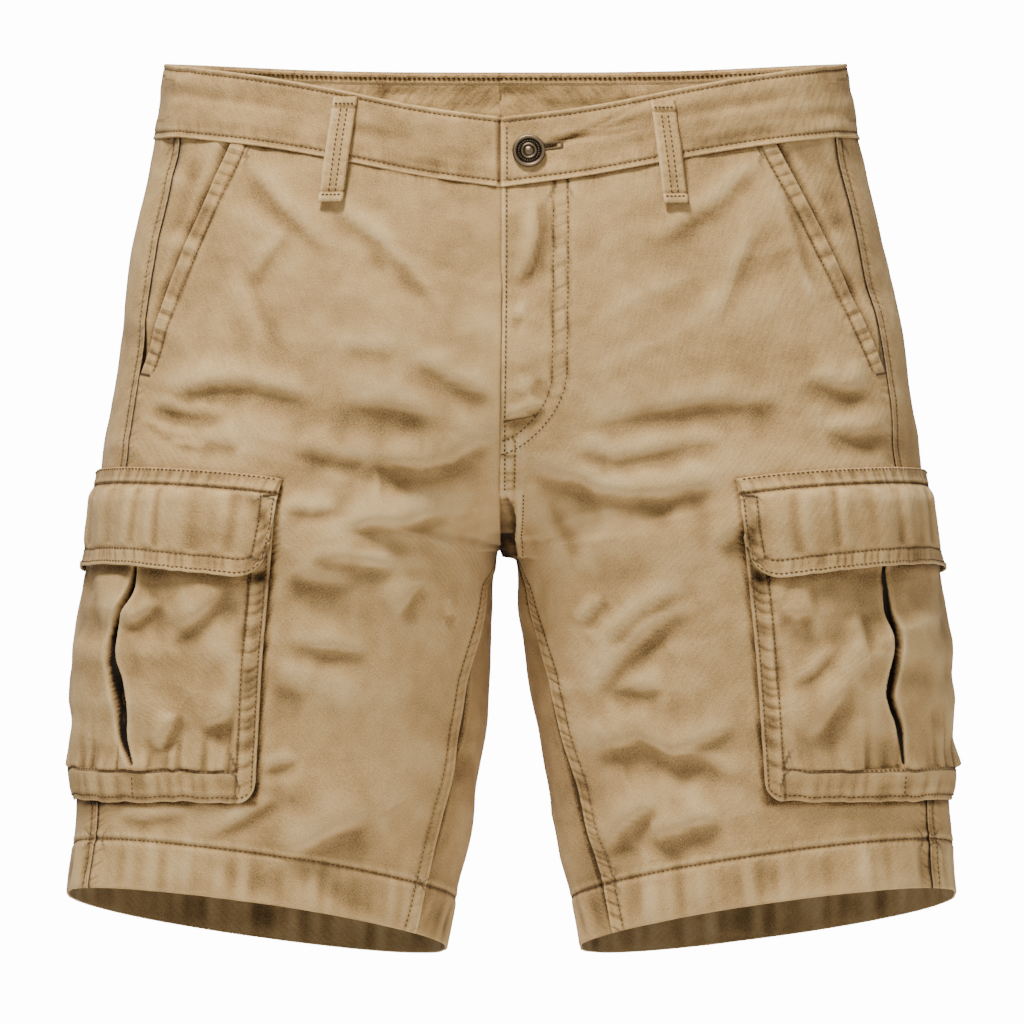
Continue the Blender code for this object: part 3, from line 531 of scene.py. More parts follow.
def puckers(run, spacing, seed):
    """Narrow troughs from 0 to 1 at uneven places along a run, as thread that is tight makes them."""
    n = wander(run / spacing, 0.0, seed) + 0.35 * wander(run * 1.9 / spacing, 0.0, seed + 5)
    return np.exp(-((n / 0.24) ** 2))


def strongest(*strips):
    """Of several puckered strips, each a strength and a run along it, the strongest at every place."""
    strength, run = np.zeros(1), np.zeros(1)
    for one_strength, one_run in strips:
        one_strength, one_run, strength, run = np.broadcast_arrays(one_strength, one_run, strength, run)
        run = np.where(one_strength > strength, one_run, run)
        strength = np.maximum(one_strength, strength)
    return strength, run


def pressed(x, z, folds):
    """The relief that a table of folds gives: a ridge on one side of each line, a trough on the other."""
    relief = np.zeros(np.shape(x))
    for half_width, depth, knots in folds:
        half_width, depth = half_width * FOLD_SPREAD, depth * FOLD_DEPTH
        knots = np.array(knots, float)
        whole = knots[-1] - knots[0]
        if whole[0] < 0:
            knots, whole = knots[::-1], -whole
        flip = 1.0 if RIDGE_SIDE[1] * whole[0] - RIDGE_SIDE[0] * whole[1] > 0 else -1.0
        runs = np.diff(knots, axis=0)
        lengths = np.hypot(*runs.T)
        starts = np.concatenate([[0.0], np.cumsum(lengths)])
        best = np.full(np.shape(x), np.inf)
        off, travelled = np.zeros(np.shape(x)), np.zeros(np.shape(x))
        for (x1, z1), run, length, start in zip(knots, runs, lengths, starts):
            raw = ((x - x1) * run[0] + (z - z1) * run[1]) / length**2
            t = np.clip(raw, 0, 1)
            apart_x, apart_z = x - x1 - t * run[0], z - z1 - t * run[1]
            distance = np.hypot(apart_x, apart_z)
            nearer = distance < best
            best = np.where(nearer, distance, best)
            signed = flip * np.sign(apart_z * run[0] - apart_x * run[1]) * distance
            off = np.where(nearer, signed, off)
            travelled = np.where(nearer, start + t * length, travelled)
        share = travelled / starts[-1]
        seed = 3 + half_width + abs(knots[0, 0])
        ends = ease(share * 2.6 + 0.12) * ease((1 - share) * 2.6 + 0.12)
        ends *= 0.85 + 0.3 * wander(travelled / 14, 0.5, seed)
        off = off + 0.35 * half_width * wander(travelled / 18, 0.5, seed + 1)
        # Steep between the ridge and the trough, and fading more slowly away from them.
        above, below = off - 0.95 * half_width, off + 0.6 * half_width
        ridge = bump(above, half_width * np.where(above > 0, 2.0, 0.95))
        trough = bump(below, half_width * np.where(below < 0, 2.0, 0.85))
        relief += depth * ends * (ridge - trough)
    return relief


def skin(side, row, along, points, normals):
    """The relief that all the cloth at a place shares: the large folds and the crumple of washing."""
    relief = np.zeros(row.shape)
    for folds, face in ((FRONT_FOLDS, -1.0), (BACK_FOLDS, 1.0)):
        facing = ease((face * normals[..., 1] - 0.1) / 0.35)
        relief += facing * pressed(points[..., 0], points[..., 2], folds)
    seed = 11 if side > 0 else 29
    u = along + 9 * wander(row / 55, along / 70, seed)
    v = row + 0.16 * along + 8 * wander(along / 50, row / 60, seed + 1)
    crumple = 2.1 * wander(u / 74, v / 33, seed + 2) + 0.4 * wander(u / 26, v / 17, seed + 3)
    small = 0.12 * wander(u / 11, v / 9, seed + 4)
    crumple += 0.5 * (1 - 2 * np.abs(wander(u / 70, v / 27, seed + 5))) + small
    seam_free = ease(-row / 60) * 0.75 + 0.25
    return relief + look().crumple * crumple * seam_free


def spaced(first, last, step, fine=()):
    """Places from first to last about a step apart, closer round each fine (place, reach, step)."""
    line = np.linspace(first, last, 4001)
    per_unit = np.full(line.shape, 1 / step)
    for place, reach, close in fine:
        per_unit = np.maximum(per_unit, 1 / step + (1 / close - 1 / step) * bump(line - place, reach))
    total = np.concatenate([[0.0], np.cumsum((per_unit[1:] + per_unit[:-1]) / 2 * np.diff(line))])
    return np.interp(np.linspace(0, total[-1], max(3, round(total[-1]) + 1)), total, line)


# ---------------------------------------------------------------- the pieces' surfaces

def slant_width(side, row):
    """How far in from a side's outseam the front's slant edge lies."""
    return SLANT_WIDTHS[side] * np.clip((row - SLANT_END) / (WAIST_SEAM - SLANT_END), 0, 1)


class Panel:
    """A front or a back: u is the distance along the row from the outseam, v is the row."""

    def __init__(self, body, side, front):
        self.body, self.side, self.front = body, side, front
        self.seed = 40 + 3 * side + (7 if front else 0)

    def seams(self, u, v):
        """The relief and the tone that the seams, the hem and their sewing give, with the painted shade and
        light on the panel.
        """
        out_seam, inner = np.abs(u), self.body.length(v, self.front) - np.abs(u)
        above_hem, below_band = v - HEM, WAIST_SEAM - v
        on_leg = ease((FORK_ROW + 4 - v) / 8)
        # The hem is a doubled band, sewn along its top.
        height = HEM_RISE * ease((HEM_DEPTH - above_hem) / 3) - 0.45 * bump(above_hem - HEM_DEPTH, 1.3)
        height += 0.35 * bump(above_hem - HEM_DEPTH - 2.8, 1.6)
        waves = wander(u / 15, 0.4, self.seed) + 0.6 * wander(u / 7, 0.2, self.seed + 1)
        height += 1.8 * waves * bump(above_hem - 14, 15) - 0.4 * bump(above_hem, 0.8)
        tone = 0.2 * bump(above_hem, 1.2) - 0.22 * bump(above_hem - HEM_DEPTH, 1.4)
        # Painted light and shade that follow the hem's waves, stronger at the back.
        tone += (0.12 if self.front else 0.3) * waves * bump(above_hem - 12, 14)
        tone += 0.1 * bump(above_hem - HEM_DEPTH - 2.6, 1.4)
        # Below the waistband the cloth gathers a little, and lies in the band's shadow.
        height += 0.5 * wander(u / 12, v / 60, self.seed + 2) * bump(below_band, 12)
        tone -= 0.7 * bump(below_band, 1.2)
        # The outseam is felled towards the back.
        line = ease((SLANT_END - 2 - v) / 6) if self.front else 1.0
        if self.front:
            tone -= 0.9 * line * bump(out_seam, 1.0)
        else:
            ridge = bump(out_seam - 1.0, 0.9)
            height += 0.65 * ridge - 0.4 * bump(out_seam - OUTSEAM_STITCH, 0.9)
            tone += 0.3 * ridge - 0.3 * bump(out_seam - OUTSEAM_STITCH, 0.9)
            tone -= 1.2 * bump(out_seam, 0.6)
        # The inseam on the leg, and the centre seam above the fork.
        ridge = bump(inner - 1.0, 0.9)
        proud = on_leg * (0.5 if self.front else -0.2)
        if self.side > 0:
            proud = proud + (1 - on_leg) * 0.6
        height += proud * ridge
        height -= 0.45 * on_leg * bump(inner - INSEAM_STITCH, 1.0) * self.front
        tone += (0.22 * on_leg * self.front + (1 - on_leg) * (0.3 if self.side > 0 else -0.1)) * ridge
        tone -= on_leg * self.front * 0.25 * bump(inner - INSEAM_STITCH, 1.0)
        tone -= 0.5 * bump(inner, 0.7)
        bare = self.body.at(self.side, v, u, creased=False)
        if self.front and self.side > 0:
            self.fly(inner, v, height, tone)
            self.hollow(bare, height, tone)
        if self.front:
            self.slant(u, v, height, tone)
        else:
            # Painted shade on the back's strip beside the inseam, which turns away from the light.
            tone -= 0.22 * on_leg * bump(inner, 26)
        # The tone, less the painted shadow beside the cargo pocket.
        return height, tone - self.painted_pocket_shadow(u, bare[..., 2])

    def painted_pocket_shadow(self, u, z):
        """Painted shadow close beside the cargo pocket, stronger beside the right leg's pocket: how much
        darker the cloth is there.
        """
        front = POCKET_FRONT + pocket_shift(self.side, z)
        past_sides = np.maximum(np.maximum(POCKET_BACK - u, u - front), 0)
        beside = np.hypot(past_sides, np.maximum(POCKET_BOTTOM - z, 0))
        share = 1.0 if self.side < 0 else 0.75
        return 1.15 * share * bump(np.maximum(beside - 1.0, 0), 1.5) * ease((FLAP_TOP - 2 - z) / 4)

    @staticmethod
    def hollow(bare, height, tone):
        """The hollow under the fork, where the left front's edge turns in behind the right leg, darkened
        with painted shade.
        """
        z = bare[..., 2]
        across = np.abs(bare[..., 0] - np.interp(z, MIDDLE_HEIGHTS, MIDDLE_SHIFTS) - lean(z))
        down, on = HOLLOW_TOP - z, ease((z - HOLLOW_FOOT) / 25)
        inside = ease((HOLLOW_WIDTH * ease((down + 8) / 30) - across) / 1.8) * ease(down / 14) * on
        deep = ease(down / 30)
        height += -inside * (2.0 + 5.0 * deep) - inside * height
        # Painted shade in the hollow, deepening downwards.
        tone += -inside * (0.1 + 0.9 * ease((down - 8) / 36)) - inside * tone
        lip = bump(across - HOLLOW_WIDTH - 1.4, 1.2) * ease(down / 9) * on
        height += 0.6 * lip
        tone += 0.35 * lip

    def fly(self, inner, v, height, tone):
        """The fly's strip between its curved rows, and the short seam below it."""
        near, far = (self.fly_row(v, place) for place in FLY_ROWS)
        inside = ease((v - FLY_ROW_END) / 8)
        rows = inside * (bump(inner - near, 0.9) + bump(inner - far, 0.9))
        height -= 0.4 * rows
        tone -= 0.25 * rows
        below = ease((FLY_ROW_END - v) / 8) * ease((v - FORK_ROW - 6) / 12)
        height -= 0.3 * below * bump(inner - 9, 0.9)
        tone -= 0.3 * below * bump(inner - 9, 1.0)

    @staticmethod
    def fly_row(v, place):
        """How far from the front edge a curved row runs: straight down, then round to the edge."""
        turn = np.clip((FLY_TURN - v) / (FLY_TURN - fly_foot(place)), 0, 1)
        return place * np.sqrt(np.clip(1 - turn**2.2, 0, 1))

    def slant(self, u, v, height, tone):
        """The slant pocket's edge: a turned strip with puckers, and the row that holds it."""
        from_edge = u - slant_width(self.side, v)
        on = ease((v - SLANT_END - 2) / 8)
        height += on * (0.5 * ease((SLANT_STITCH - from_edge) / 4) - 0.5 * bump(from_edge, 0.6))
        height -= 0.5 * on * bump(from_edge - SLANT_STITCH, 0.9)
        tone += 0.3 * on * bump(from_edge, 0.9)
        tone -= 0.4 * on * bump(from_edge - SLANT_STITCH, 1.0)

    def ladders(self, u, v):
        """Where the sewing puckers the cloth."""
        out_seam, inner = np.abs(u), self.body.length(v, self.front) - np.abs(u)
        on_leg, above_hem, below_band = ease((FORK_ROW + 4 - v) / 8), v - HEM, WAIST_SEAM - v
        strips = [
            (0.5 * bump(above_hem - HEM_DEPTH, 4.5), u + 0.3 * v),
            (0.4 * bump(below_band, 8), u + 0.2 * v + 3 * APART),
        ]
        if not self.front:
            strips.append((0.4 * bump(out_seam - 5, 6), v + 0.3 * out_seam + 7 * APART))
            return strongest(*strips)
        inseam = on_leg * (1.1 if self.side > 0 else 0.5) * bump(inner - 5, 5)
        strips.append((inseam, v + 0.6 * inner + 9 * APART))
        line = ease((SLANT_END - 2 - v) / 6)
        strips.append((0.6 * line * bump(out_seam - 3, 4), v - 0.5 * out_seam + 7 * APART))
        from_edge, on = u - slant_width(self.side, v), ease((v - SLANT_END - 2) / 8)
        slant = 1.35 * on * bump(from_edge - SLANT_STITCH / 2, SLANT_STITCH / 2 + 1.0)
        strips.append((slant, 0.66 * v + 0.1 * from_edge))
        if self.side > 0:
            near, far = (self.fly_row(v, place) for place in FLY_ROWS)
            fly = 0.6 * ease((v - FLY_ROW_END) / 8) * bump(inner - (near + far) / 2, 5.0)
            strips.append((fly, 0.7 * v - 0.2 * inner + 2 * APART))
            below = ease((FLY_ROW_END - v) / 8) * ease((v - CENTRE_END) / 12)
            strips.append((1.3 * below * bump(inner - 5, 5), v + 0.2 * inner + 4 * APART))
        return strongest(*strips)

    def place(self, u, v, out=0.0):
        return self.body.at(self.side, v, u, out + self.seams(u, v)[0])

    def grid(self):
        fine = (
            (HEM, 3, 0.9), (HEM + HEM_DEPTH, 4, 0.9), (WAIST_SEAM, 7, 1.3), (FORK_ROW - 3, 4, 0.7),
        )
        v = spaced(HEM, WAIST_SEAM + BAND_LAP, 2.6, fine)[:, None]
        length = self.body.length(v, self.front) - SHELL_GAP / 2
        middle = length.mean()
        near = (0, 9, 1.1) if self.front else (0, 5, 0.7)
        share = (spaced(0, middle, 2.4, (near, (middle, 6, 0.9))) / middle)[None, :]
        first = SHELL_GAP / 2 + (slant_width(self.side, v) if self.front else 0.0)
        u = first + (length - first) * share
        return (u if self.front else -u), v + 0 * u


def fly_foot(place):
    """The row where one of the fly's curved rows of stitches ends."""
    return FLY_FOOT + 0.7 * (FLY_ROWS[1] - place)


class Facing:
    """The piece behind the slant opening, with the same places as the front."""

    def __init__(self, body, side):
        self.body, self.side, self.seed = body, side, 70 + side

    def seams(self, u, v):
        soft = wander(u / 16, v / 13, self.seed + 1)
        height = 1.5 * soft * ease(u / 12)
        # Painted shade: darker all over, as it lies sunk behind the opening, and darkest just under the
        # slant edge; painted light and shade follow its soft folds. The outseam is a dark line.
        tone = -0.15 + 0.25 * soft - 0.7 * bump(u - slant_width(self.side, v), 3.0) - 0.4 * bump(u, 0.9)
        return height, tone + 0 * u

    def ladders(self, u, v):
        """No seam puckers it."""
        return 0 * u + 0 * v, v + 0 * u

    def place(self, u, v, out=0.0):
        # Away from the slant edge it comes up to the back panel's edge.
        risen = (FACING_SUNK - 0.4) * ease((slant_width(self.side, v) - u - 1.0) / 9.0)
        return self.body.at(self.side, v, u, out - FACING_SUNK + risen + self.seams(u, v)[0])

    def grid(self):
        v = np.linspace(SLANT_END - 12.0, WAIST_SEAM + BAND_LAP, 70)[:, None]
        first = SEAM_GAP / 2
        u = first + (slant_width(self.side, v) + FACING_UNDER - first) * np.linspace(0, 1, 30)[None, :]
        return u, v + 0 * u


class Band:
    """Half of the waistband: u runs from the middle of the back to the front end, v up from the seam."""

    def __init__(self, body, side):
        self.body, self.side, self.seed = body, side, 80 + side

    def seams(self, u, v):
        low, high = BAND_ROWS
        seed = self.seed
        height = 0.45 * bump(v - 0.8, 0.8) + 0.25 * bump(v - (BAND_TALL - 0.8), 1.2)
        height -= 0.5 * (bump(v - low, 0.9) + bump(v - high, 0.9)) + 0.5 * bump(v - BAND_TALL, 0.5)
        height += 0.7 * wander(u / 26, v / 18, seed + 2) + 0.8 * wander(u / 60, v / 7, seed + 3)
        height += 0.35 * wander(u / 11, v / 9, seed + 4)
        tone = -0.18 + 0.22 * bump(v - 0.9, 0.7) + 0.15 * bump(v - (BAND_TALL - 0.6), 0.8)
        tone -= 0.14 * (bump(v - low, 1.1) + bump(v - high, 1.0))
        from_end = self.front_end(v) - u
        if self.side > 0:
            height -= 0.5 * bump(from_end, 0.5)
            tone += 0.3 * bump(from_end - 0.9, 1.0)
            away = np.clip((from_end - 24) / 10, 0, 1) * np.clip((96 - from_end) / 50, 0, 1)
            # Each crease sinks the band, with painted shade along it.
            for fall, start in BAND_CREASES:
                line = start - fall * (from_end - BAND_CREASE_FROM)
                height -= 0.75 * away * bump(v - line, 1.6)
                tone -= 0.14 * away * bump(v - line, 1.6)
        return height, tone

    def ladders(self, u, v):
        low, high = BAND_ROWS
        return strongest(
            (0.35 * bump(v - low - 1, 6), u + 0.2 * v),
            (0.35 * bump(v - high + 1, 5), u + 5 * APART),
            (0.4 * ease(-u / 30) * bump(v - 24, 13), 0.5 * u + 0.12 * v + 9 * APART),
        )

    def front_end(self, v):
        """The distance of the front end from the outseam."""
        return self.body.length(WAIST_SEAM + v, True) - SEAM_GAP / 2

    def place(self, u, v, out=0.0):
        row = WAIST_SEAM + SEAM_GAP / 2 + v * (BAND_TALL - SEAM_GAP / 2) / BAND_TALL
        height = BAND_PROUD + out + self.seams(u, v)[0]
        if self.side > 0:
            return self.body.at(1, row, u, height - self.buttonhole(u, v))
        past = u - self.front_end(v)
        sunk = (BAND_WALL + UNDERLAP_GAP) * ease((past + UNDERLAP_STEP) / UNDERLAP_STEP)
        # The underlap goes on along the left side, under the left band.
        own = self.body.at(-1, row, np.minimum(u, self.front_end(v)), height - sunk)
        over = self.body.at(1, row, self.front_end(v) - np.maximum(past, 0), height - sunk)
        return np.where((past > 0)[..., None], over, own)

    def buttonhole(self, u, v):
        """How deep the buttonhole sinks into the band."""
        from_end, (first, last, tall) = self.front_end(v) - u, BUTTONHOLE
        inside = ease(from_end - first) * ease(last - from_end)
        return 1.6 * inside * bump(v - BUTTONHOLE_MIDDLE, tall / 2)

    def grid(self):
        low, high = BAND_ROWS
        fine = ((1, 3, 0.6), (low, 1.5, 0.6), (high, 1.5, 0.6), (BAND_TALL, 2, 0.6))
        v = spaced(0, BAND_TALL, 1.7, fine)[:, None]
        back = self.body.length(WAIST_SEAM + v, False) - SEAM_GAP / 2
        front = self.front_end(v)
        total = (back + front).mean()
        fine = ((total, 4, 0.5),) if self.side > 0 else ((total, 8, 0.9),)
        share = (spaced(0, total, 1.9, fine) / total)[None, :]
        u = -back + (back + front) * share
        if self.side > 0:
            # The upper front corner is rounded.
            u = np.minimum(u, front - rounded(BAND_TALL - v, 0.0, 200.0, 4.0))
        else:
            more = front + np.linspace(0, UNDERLAP, 26)[None, 1:]
            u = np.concatenate([u, more], axis=1)
        return u, v + 0 * u


def rounded(along, first, last, radius):
    """How far an edge draws in at a distance along it, to round the corners."""
    from_end = np.minimum(along - first, last - along)
    inside = np.clip(radius - from_end, 0, radius)
    return radius - np.sqrt(np.clip(radius**2 - inside**2, 0, None))


def pocket_shift(side, height):
    """How far forward the front edge of a side's cargo pocket lies at a height."""
    return np.interp(height, *POCKET_SHIFTS[side])


def flap_bow(u):
    """How much higher a flap is here than at its corners."""
    middle = (FLAP_FRONT + FLAP_BACK) / 2
    return FLAP_BOW * (1 - ((u - middle) / (FLAP_FRONT - middle)) ** 2)


class Pocket:
    """A cargo pocket: u is the distance along the row, v the height up from its lower edge."""

    def __init__(self, body, side):
        self.body, self.side, self.seed = body, side, 90 + side
        knots = np.array(PLEATS[side], float)
        _, _, self.pleat_along = body.place_at(knots[:, 0] - side * PLEAT_SHIFT, knots[:, 1], -1)
        order = np.argsort(knots[:, 1])
        self.pleat_height, self.pleat_half = knots[order, 1], knots[order, 2]
        self.pleat_along = self.pleat_along[order]

    def bottom(self, u):
        return POCKET_BOTTOM + rounded(u, POCKET_BACK, POCKET_FRONT, POCKET_CORNER) + self.waver(u)

    def waver(self, u):
        """How uneven the lower edge is."""
        return 1.0 * wander(u / 12, 0.5, self.seed) + 0.6 * wander(u / 4.5, 1.5, self.seed)

    def stand(self, u, z):
        """How far the pocket's outer side stands off the leg, without its finer relief."""
        heights, stands = np.array(POCKET_STANDS).T
        full = np.interp(z, heights, stands)
        return POCKET_FOOT + (full - POCKET_FOOT) * ease((self.borders(u)[0] - 2.0) / 17.0)

    def pleat(self, u, z):
        """Distance from the middle of the pleat's gap, and the gap's half width."""
        middle = smooth(z, self.pleat_height, self.pleat_along)
        half = np.interp(z, self.pleat_height, self.pleat_half, left=0.0)
        half = PLEAT_WIDER[self.side] * half + 0.2
        return u - middle, half * ease((z - self.pleat_height[0] + 6) / 8)

    @staticmethod
    def borders(u):
        """The distance from the nearer side edge, and 0 on the border along it to 1 inside it."""
        edge = np.minimum(u - POCKET_BACK, POCKET_FRONT - u)
        return edge, ease((edge - POCKET_BORDER + 3) / 4)

    def seams(self, u, v):
        z = self.bottom(u) + v
        seed = self.seed
        edge, inside = self.borders(u)
        height = np.zeros(np.shape(u))
        # The border along the sides, with a row of stitches at each side of it.
        height -= 0.5 * bump(edge - POCKET_BORDER, 1.0) + 0.5 * bump(edge, 0.6)
        tone = 0.3 * bump(edge, 1.1)
        tone -= 0.25 * bump(edge - POCKET_BORDER, 1.0) + 0.25 * bump(edge - POCKET_EDGE_STITCH, 0.8)
        # The band along the bottom.
        gather = puckers(u, 13, seed + 3)
        height -= 0.6 * inside * bump(v - POCKET_BAND, 1.1)
        tone -= 0.55 * inside * bump(v - POCKET_BAND, 1.1)
        tone += 0.3 * bump(v, 1.0) - 0.25 * bump(v - 3.2, 0.9)
        height -= 0.5 * bump(v, 0.6)
        above = inside * ease((v - POCKET_BAND) / 1.5)
        fade = np.exp(-np.clip(v - POCKET_BAND, 0, None) / 13)
        height += above * fade * (1.6 - 2.6 * gather)
        # Painted shade in the gathers.
        tone -= 0.14 * above * fade * gather
        # Soft folds over the body of the pocket, below the flap, with painted light and shade that follow
        # them. Its outer side is wavy.
        under = FLAP_BOTTOM - FLAP_DROP + flap_bow(u)
        above = above * ease((under + 2 - z) / 8)
        soft = wander(u / 26 + z / 50, z / 30, seed + 5)
        height += above * (2.6 * soft + 0.8 * wander(u / 13, z / 15, seed + 6))
        height += 1.7 * above * bump(u - 5, 45) * wander(z / 14, 3.0, seed + 7)
        tone += 0.15 * above * soft
        # Painted shadow under the flap's free edge.
        tone -= 0.45 * bump(z - under + 1.0, 3.6) + 0.25 * bump(z - under, 16)
        # The pleat's gap, darkened near to black as painted shade.
        off, half = self.pleat(u, z)
        gap = ease((half + 0.8 - np.abs(off)) / 1.5) * ease(half / 0.3)
        deep = np.clip(self.stand(u, z) + height - PLEAT_FLOOR, 0, None)
        lips = bump(np.abs(off) - half - 2.2, 1.8) * ease(half / 0.5)
        height = height * (1 - gap) - gap * deep + 0.25 * lips * (1 - gap)
        tone = tone * (1 - gap) - 1.5 * gap + 0.14 * lips * (1 - gap)
        return height, tone

    def ladders(self, u, v):
        edge, inside = self.borders(u)
        at_side = 1.4 * bump(edge - 7.0, 5.5) * ease((v - 6) / 10)
        return strongest(
            (at_side, 0.7 * v + 0.1 * u + 2 * APART * np.sign(u)),
            (1.3 * inside * bump(v - 9, 8), 0.6 * u + 0.1 * v + 9 * APART),
            (0.5 * inside * bump(v - POCKET_BAND - 3, 6), 0.8 * u - 0.14 * v + 5 * APART),
        )

    def place(self, u, v, out=0.0):
        z = self.bottom(u) + v
        along = u + pocket_shift(self.side, z) * ease((u - 30) / 60)
        row = self.body.row_at_height(self.side, z, along)
        foot = ease(v / 7.0)
        stand = POCKET_FOOT + (self.stand(u, z) - POCKET_FOOT) * foot
        points = self.body.at(self.side, row, along, stand + out + self.seams(u, v)[0])
        folds = pressed(points[..., 0], points[..., 2], POCKET_FOLDS) * ease((v - POCKET_BAND) / 8)
        more = (POCKET_FOLD_DEPTH * folds * ease((self.borders(u)[0] - POCKET_BORDER) / 6))[..., None]
        if np.abs(more).max() < 1e-6:
            # No fold reaches here.
            return points
        bare = self.body.at(self.side, row, along, creased=False)
        outward = self.body.at(self.side, row, along, 1.0, creased=False) - bare
        return points + outward * more

    def grid(self):
        fine = (
            (POCKET_BACK, 3, 0.7), (POCKET_FRONT, 3, 0.7),
            (POCKET_BACK + POCKET_BORDER, 2, 0.9), (POCKET_FRONT - POCKET_BORDER, 2, 0.9),
            (self.pleat_along.mean(), 8, 0.45),
        )
        u = spaced(POCKET_BACK, POCKET_FRONT, 1.9, fine)[None, :]
        top = POCKET_TOP - POCKET_BOTTOM
        v = spaced(0, top, 1.5, ((0, 3, 0.8), (POCKET_BAND, 3, 0.8)))[:, None]
        v = v * (1 - (self.bottom(u) - POCKET_BOTTOM) / top)
        return u + 0 * v, v


class Flap:
    """A cargo pocket's flap: u is the distance along the row, v from 0 at its lower edge to 1."""

    def __init__(self, pocket):
        self.pocket, self.body, self.side = pocket, pocket.body, pocket.side
        self.seed = 110 + pocket.side

    def edges(self, u):
        bow = flap_bow(u)
        bottom = FLAP_BOTTOM - FLAP_DROP + bow + rounded(u, FLAP_BACK, FLAP_FRONT, FLAP_CORNER)
        bottom = bottom + 1.1 * wander(u / 21, 0.5, self.seed) + 0.4 * wander(u / 5, 0.5, self.seed + 1)
        return bottom, FLAP_TOP - FLAP_DROP + 0.9 * bow

    def seams(self, u, v):
        bottom, top = self.edges(u)
        seed = self.seed
        up, down = (top - bottom) * v, (top - bottom) * (1 - v)
        side_edge = np.minimum(u - FLAP_BACK, FLAP_FRONT - u)
        edge = np.minimum(side_edge, up)
        # The strip along the top is sewn through, and puckers between its two rows.
        height = 0.5 * ease((FLAP_SEWN - down) / 2) - 0.8 * bump(down - FLAP_SEWN, 1.3)
        height -= 0.4 * bump(down, 0.7)
        tone = -0.5 * bump(down - FLAP_SEWN, 1.2) + 0.15 * bump(down - 0.8, 1.0)
        tone += 0.12 * bump(down - FLAP_SEWN - 3, 1.6) - 0.3 * bump(down - 1.6, 0.8)
        # The border along the free edges.
        free = ease((down - FLAP_SEWN - 1) / 4)
        row = 0.4 * bump(edge - FLAP_BORDER, 1.0)
        height += free * (0.9 * bump(edge, 3.0) - 0.5 * bump(edge, 0.5) - row)
        worn = 0.75 + 0.5 * wander((u + up) / 5, 0.5, seed + 4)
        tone += free * 0.35 * bump(edge, 1.0) * worn
        tone -= free * (0.25 * bump(edge - FLAP_BORDER, 1.0) + 0.25 * bump(edge - FLAP_EDGE_STITCH, 0.8))
        # Soft upright folds between the borders, with painted shade in their troughs.
        body = free * ease((edge - FLAP_BORDER) / 5)
        for number, (place, half, depth) in enumerate(FLAP_FOLDS[self.side]):
            off = u - place - (7 * wander(0.5, number, seed) * v + 2 * wander(v * 2, number, seed + 1))
            strength = body * (0.7 + 0.5 * wander(v * 1.5, number, seed + 2))
            height += strength * depth * (bump(off + 1.3 * half, 1.5 * half) - bump(off, half))
            tone -= 0.12 * strength * bump(off, half)
        return height, tone

    def ladders(self, u, v):
        bottom, top = self.edges(u)
        up, down = (top - bottom) * v, (top - bottom) * (1 - v)
        side_edge = np.minimum(u - FLAP_BACK, FLAP_FRONT - u)
        free = ease((down - FLAP_SEWN - 1) / 4)
        return strongest(
            (1.1 * bump(down - FLAP_SEWN / 2 - 1, 6.5), u + 0.2 * down),
            (free * bump(up - 6.0, 4.6), u + 0.2 * up + 4 * APART),
            (free * bump(side_edge - 6.0, 4.6), up + 8 * APART),
        )

    def place(self, u, v, out=0.0):
        bottom, top = self.edges(u)
        z = bottom + (top - bottom) * v
        along = u + np.interp(v, *FLAP_SHIFTS[self.side]) * ease((u - 30) / 60)
        row = self.body.row_at_height(self.side, z, along)
        over = self.pocket.stand(u, z) + FLAP_CLEAR
        lift = ease((FLAP_TOP - 2.0 - z) / 16.0)
        # The free edge curls up a little, unevenly.
        curl = ease(1 - 3.5 * v) * (1.1 + 0.9 * wander(u / 17, 0.5, self.seed + 7))
        inner = FLAP_CLEAR + (over - FLAP_CLEAR) * lift + curl
        return self.body.at(self.side, row, along, inner + FLAP_WALL + out + self.seams(u, v)[0])

    def grid(self):
        fine = ((FLAP_BACK, 3, 0.7), (FLAP_FRONT, 3, 0.7), (FLAP_FRONT - FLAP_BORDER, 2, 0.8))
        u = spaced(FLAP_BACK, FLAP_FRONT, 1.35, fine)[None, :]
        fine = (
            (0, 3, 0.55), (FLAP_BORDER, 2, 0.8), (FLAP_TALL - FLAP_SEWN, 2, 0.6), (FLAP_TALL, 1.5, 0.6),
        )
        v = spaced(0, FLAP_TALL, 1.3, fine)[:, None] / FLAP_TALL
        return u + 0 * v, v + 0 * u


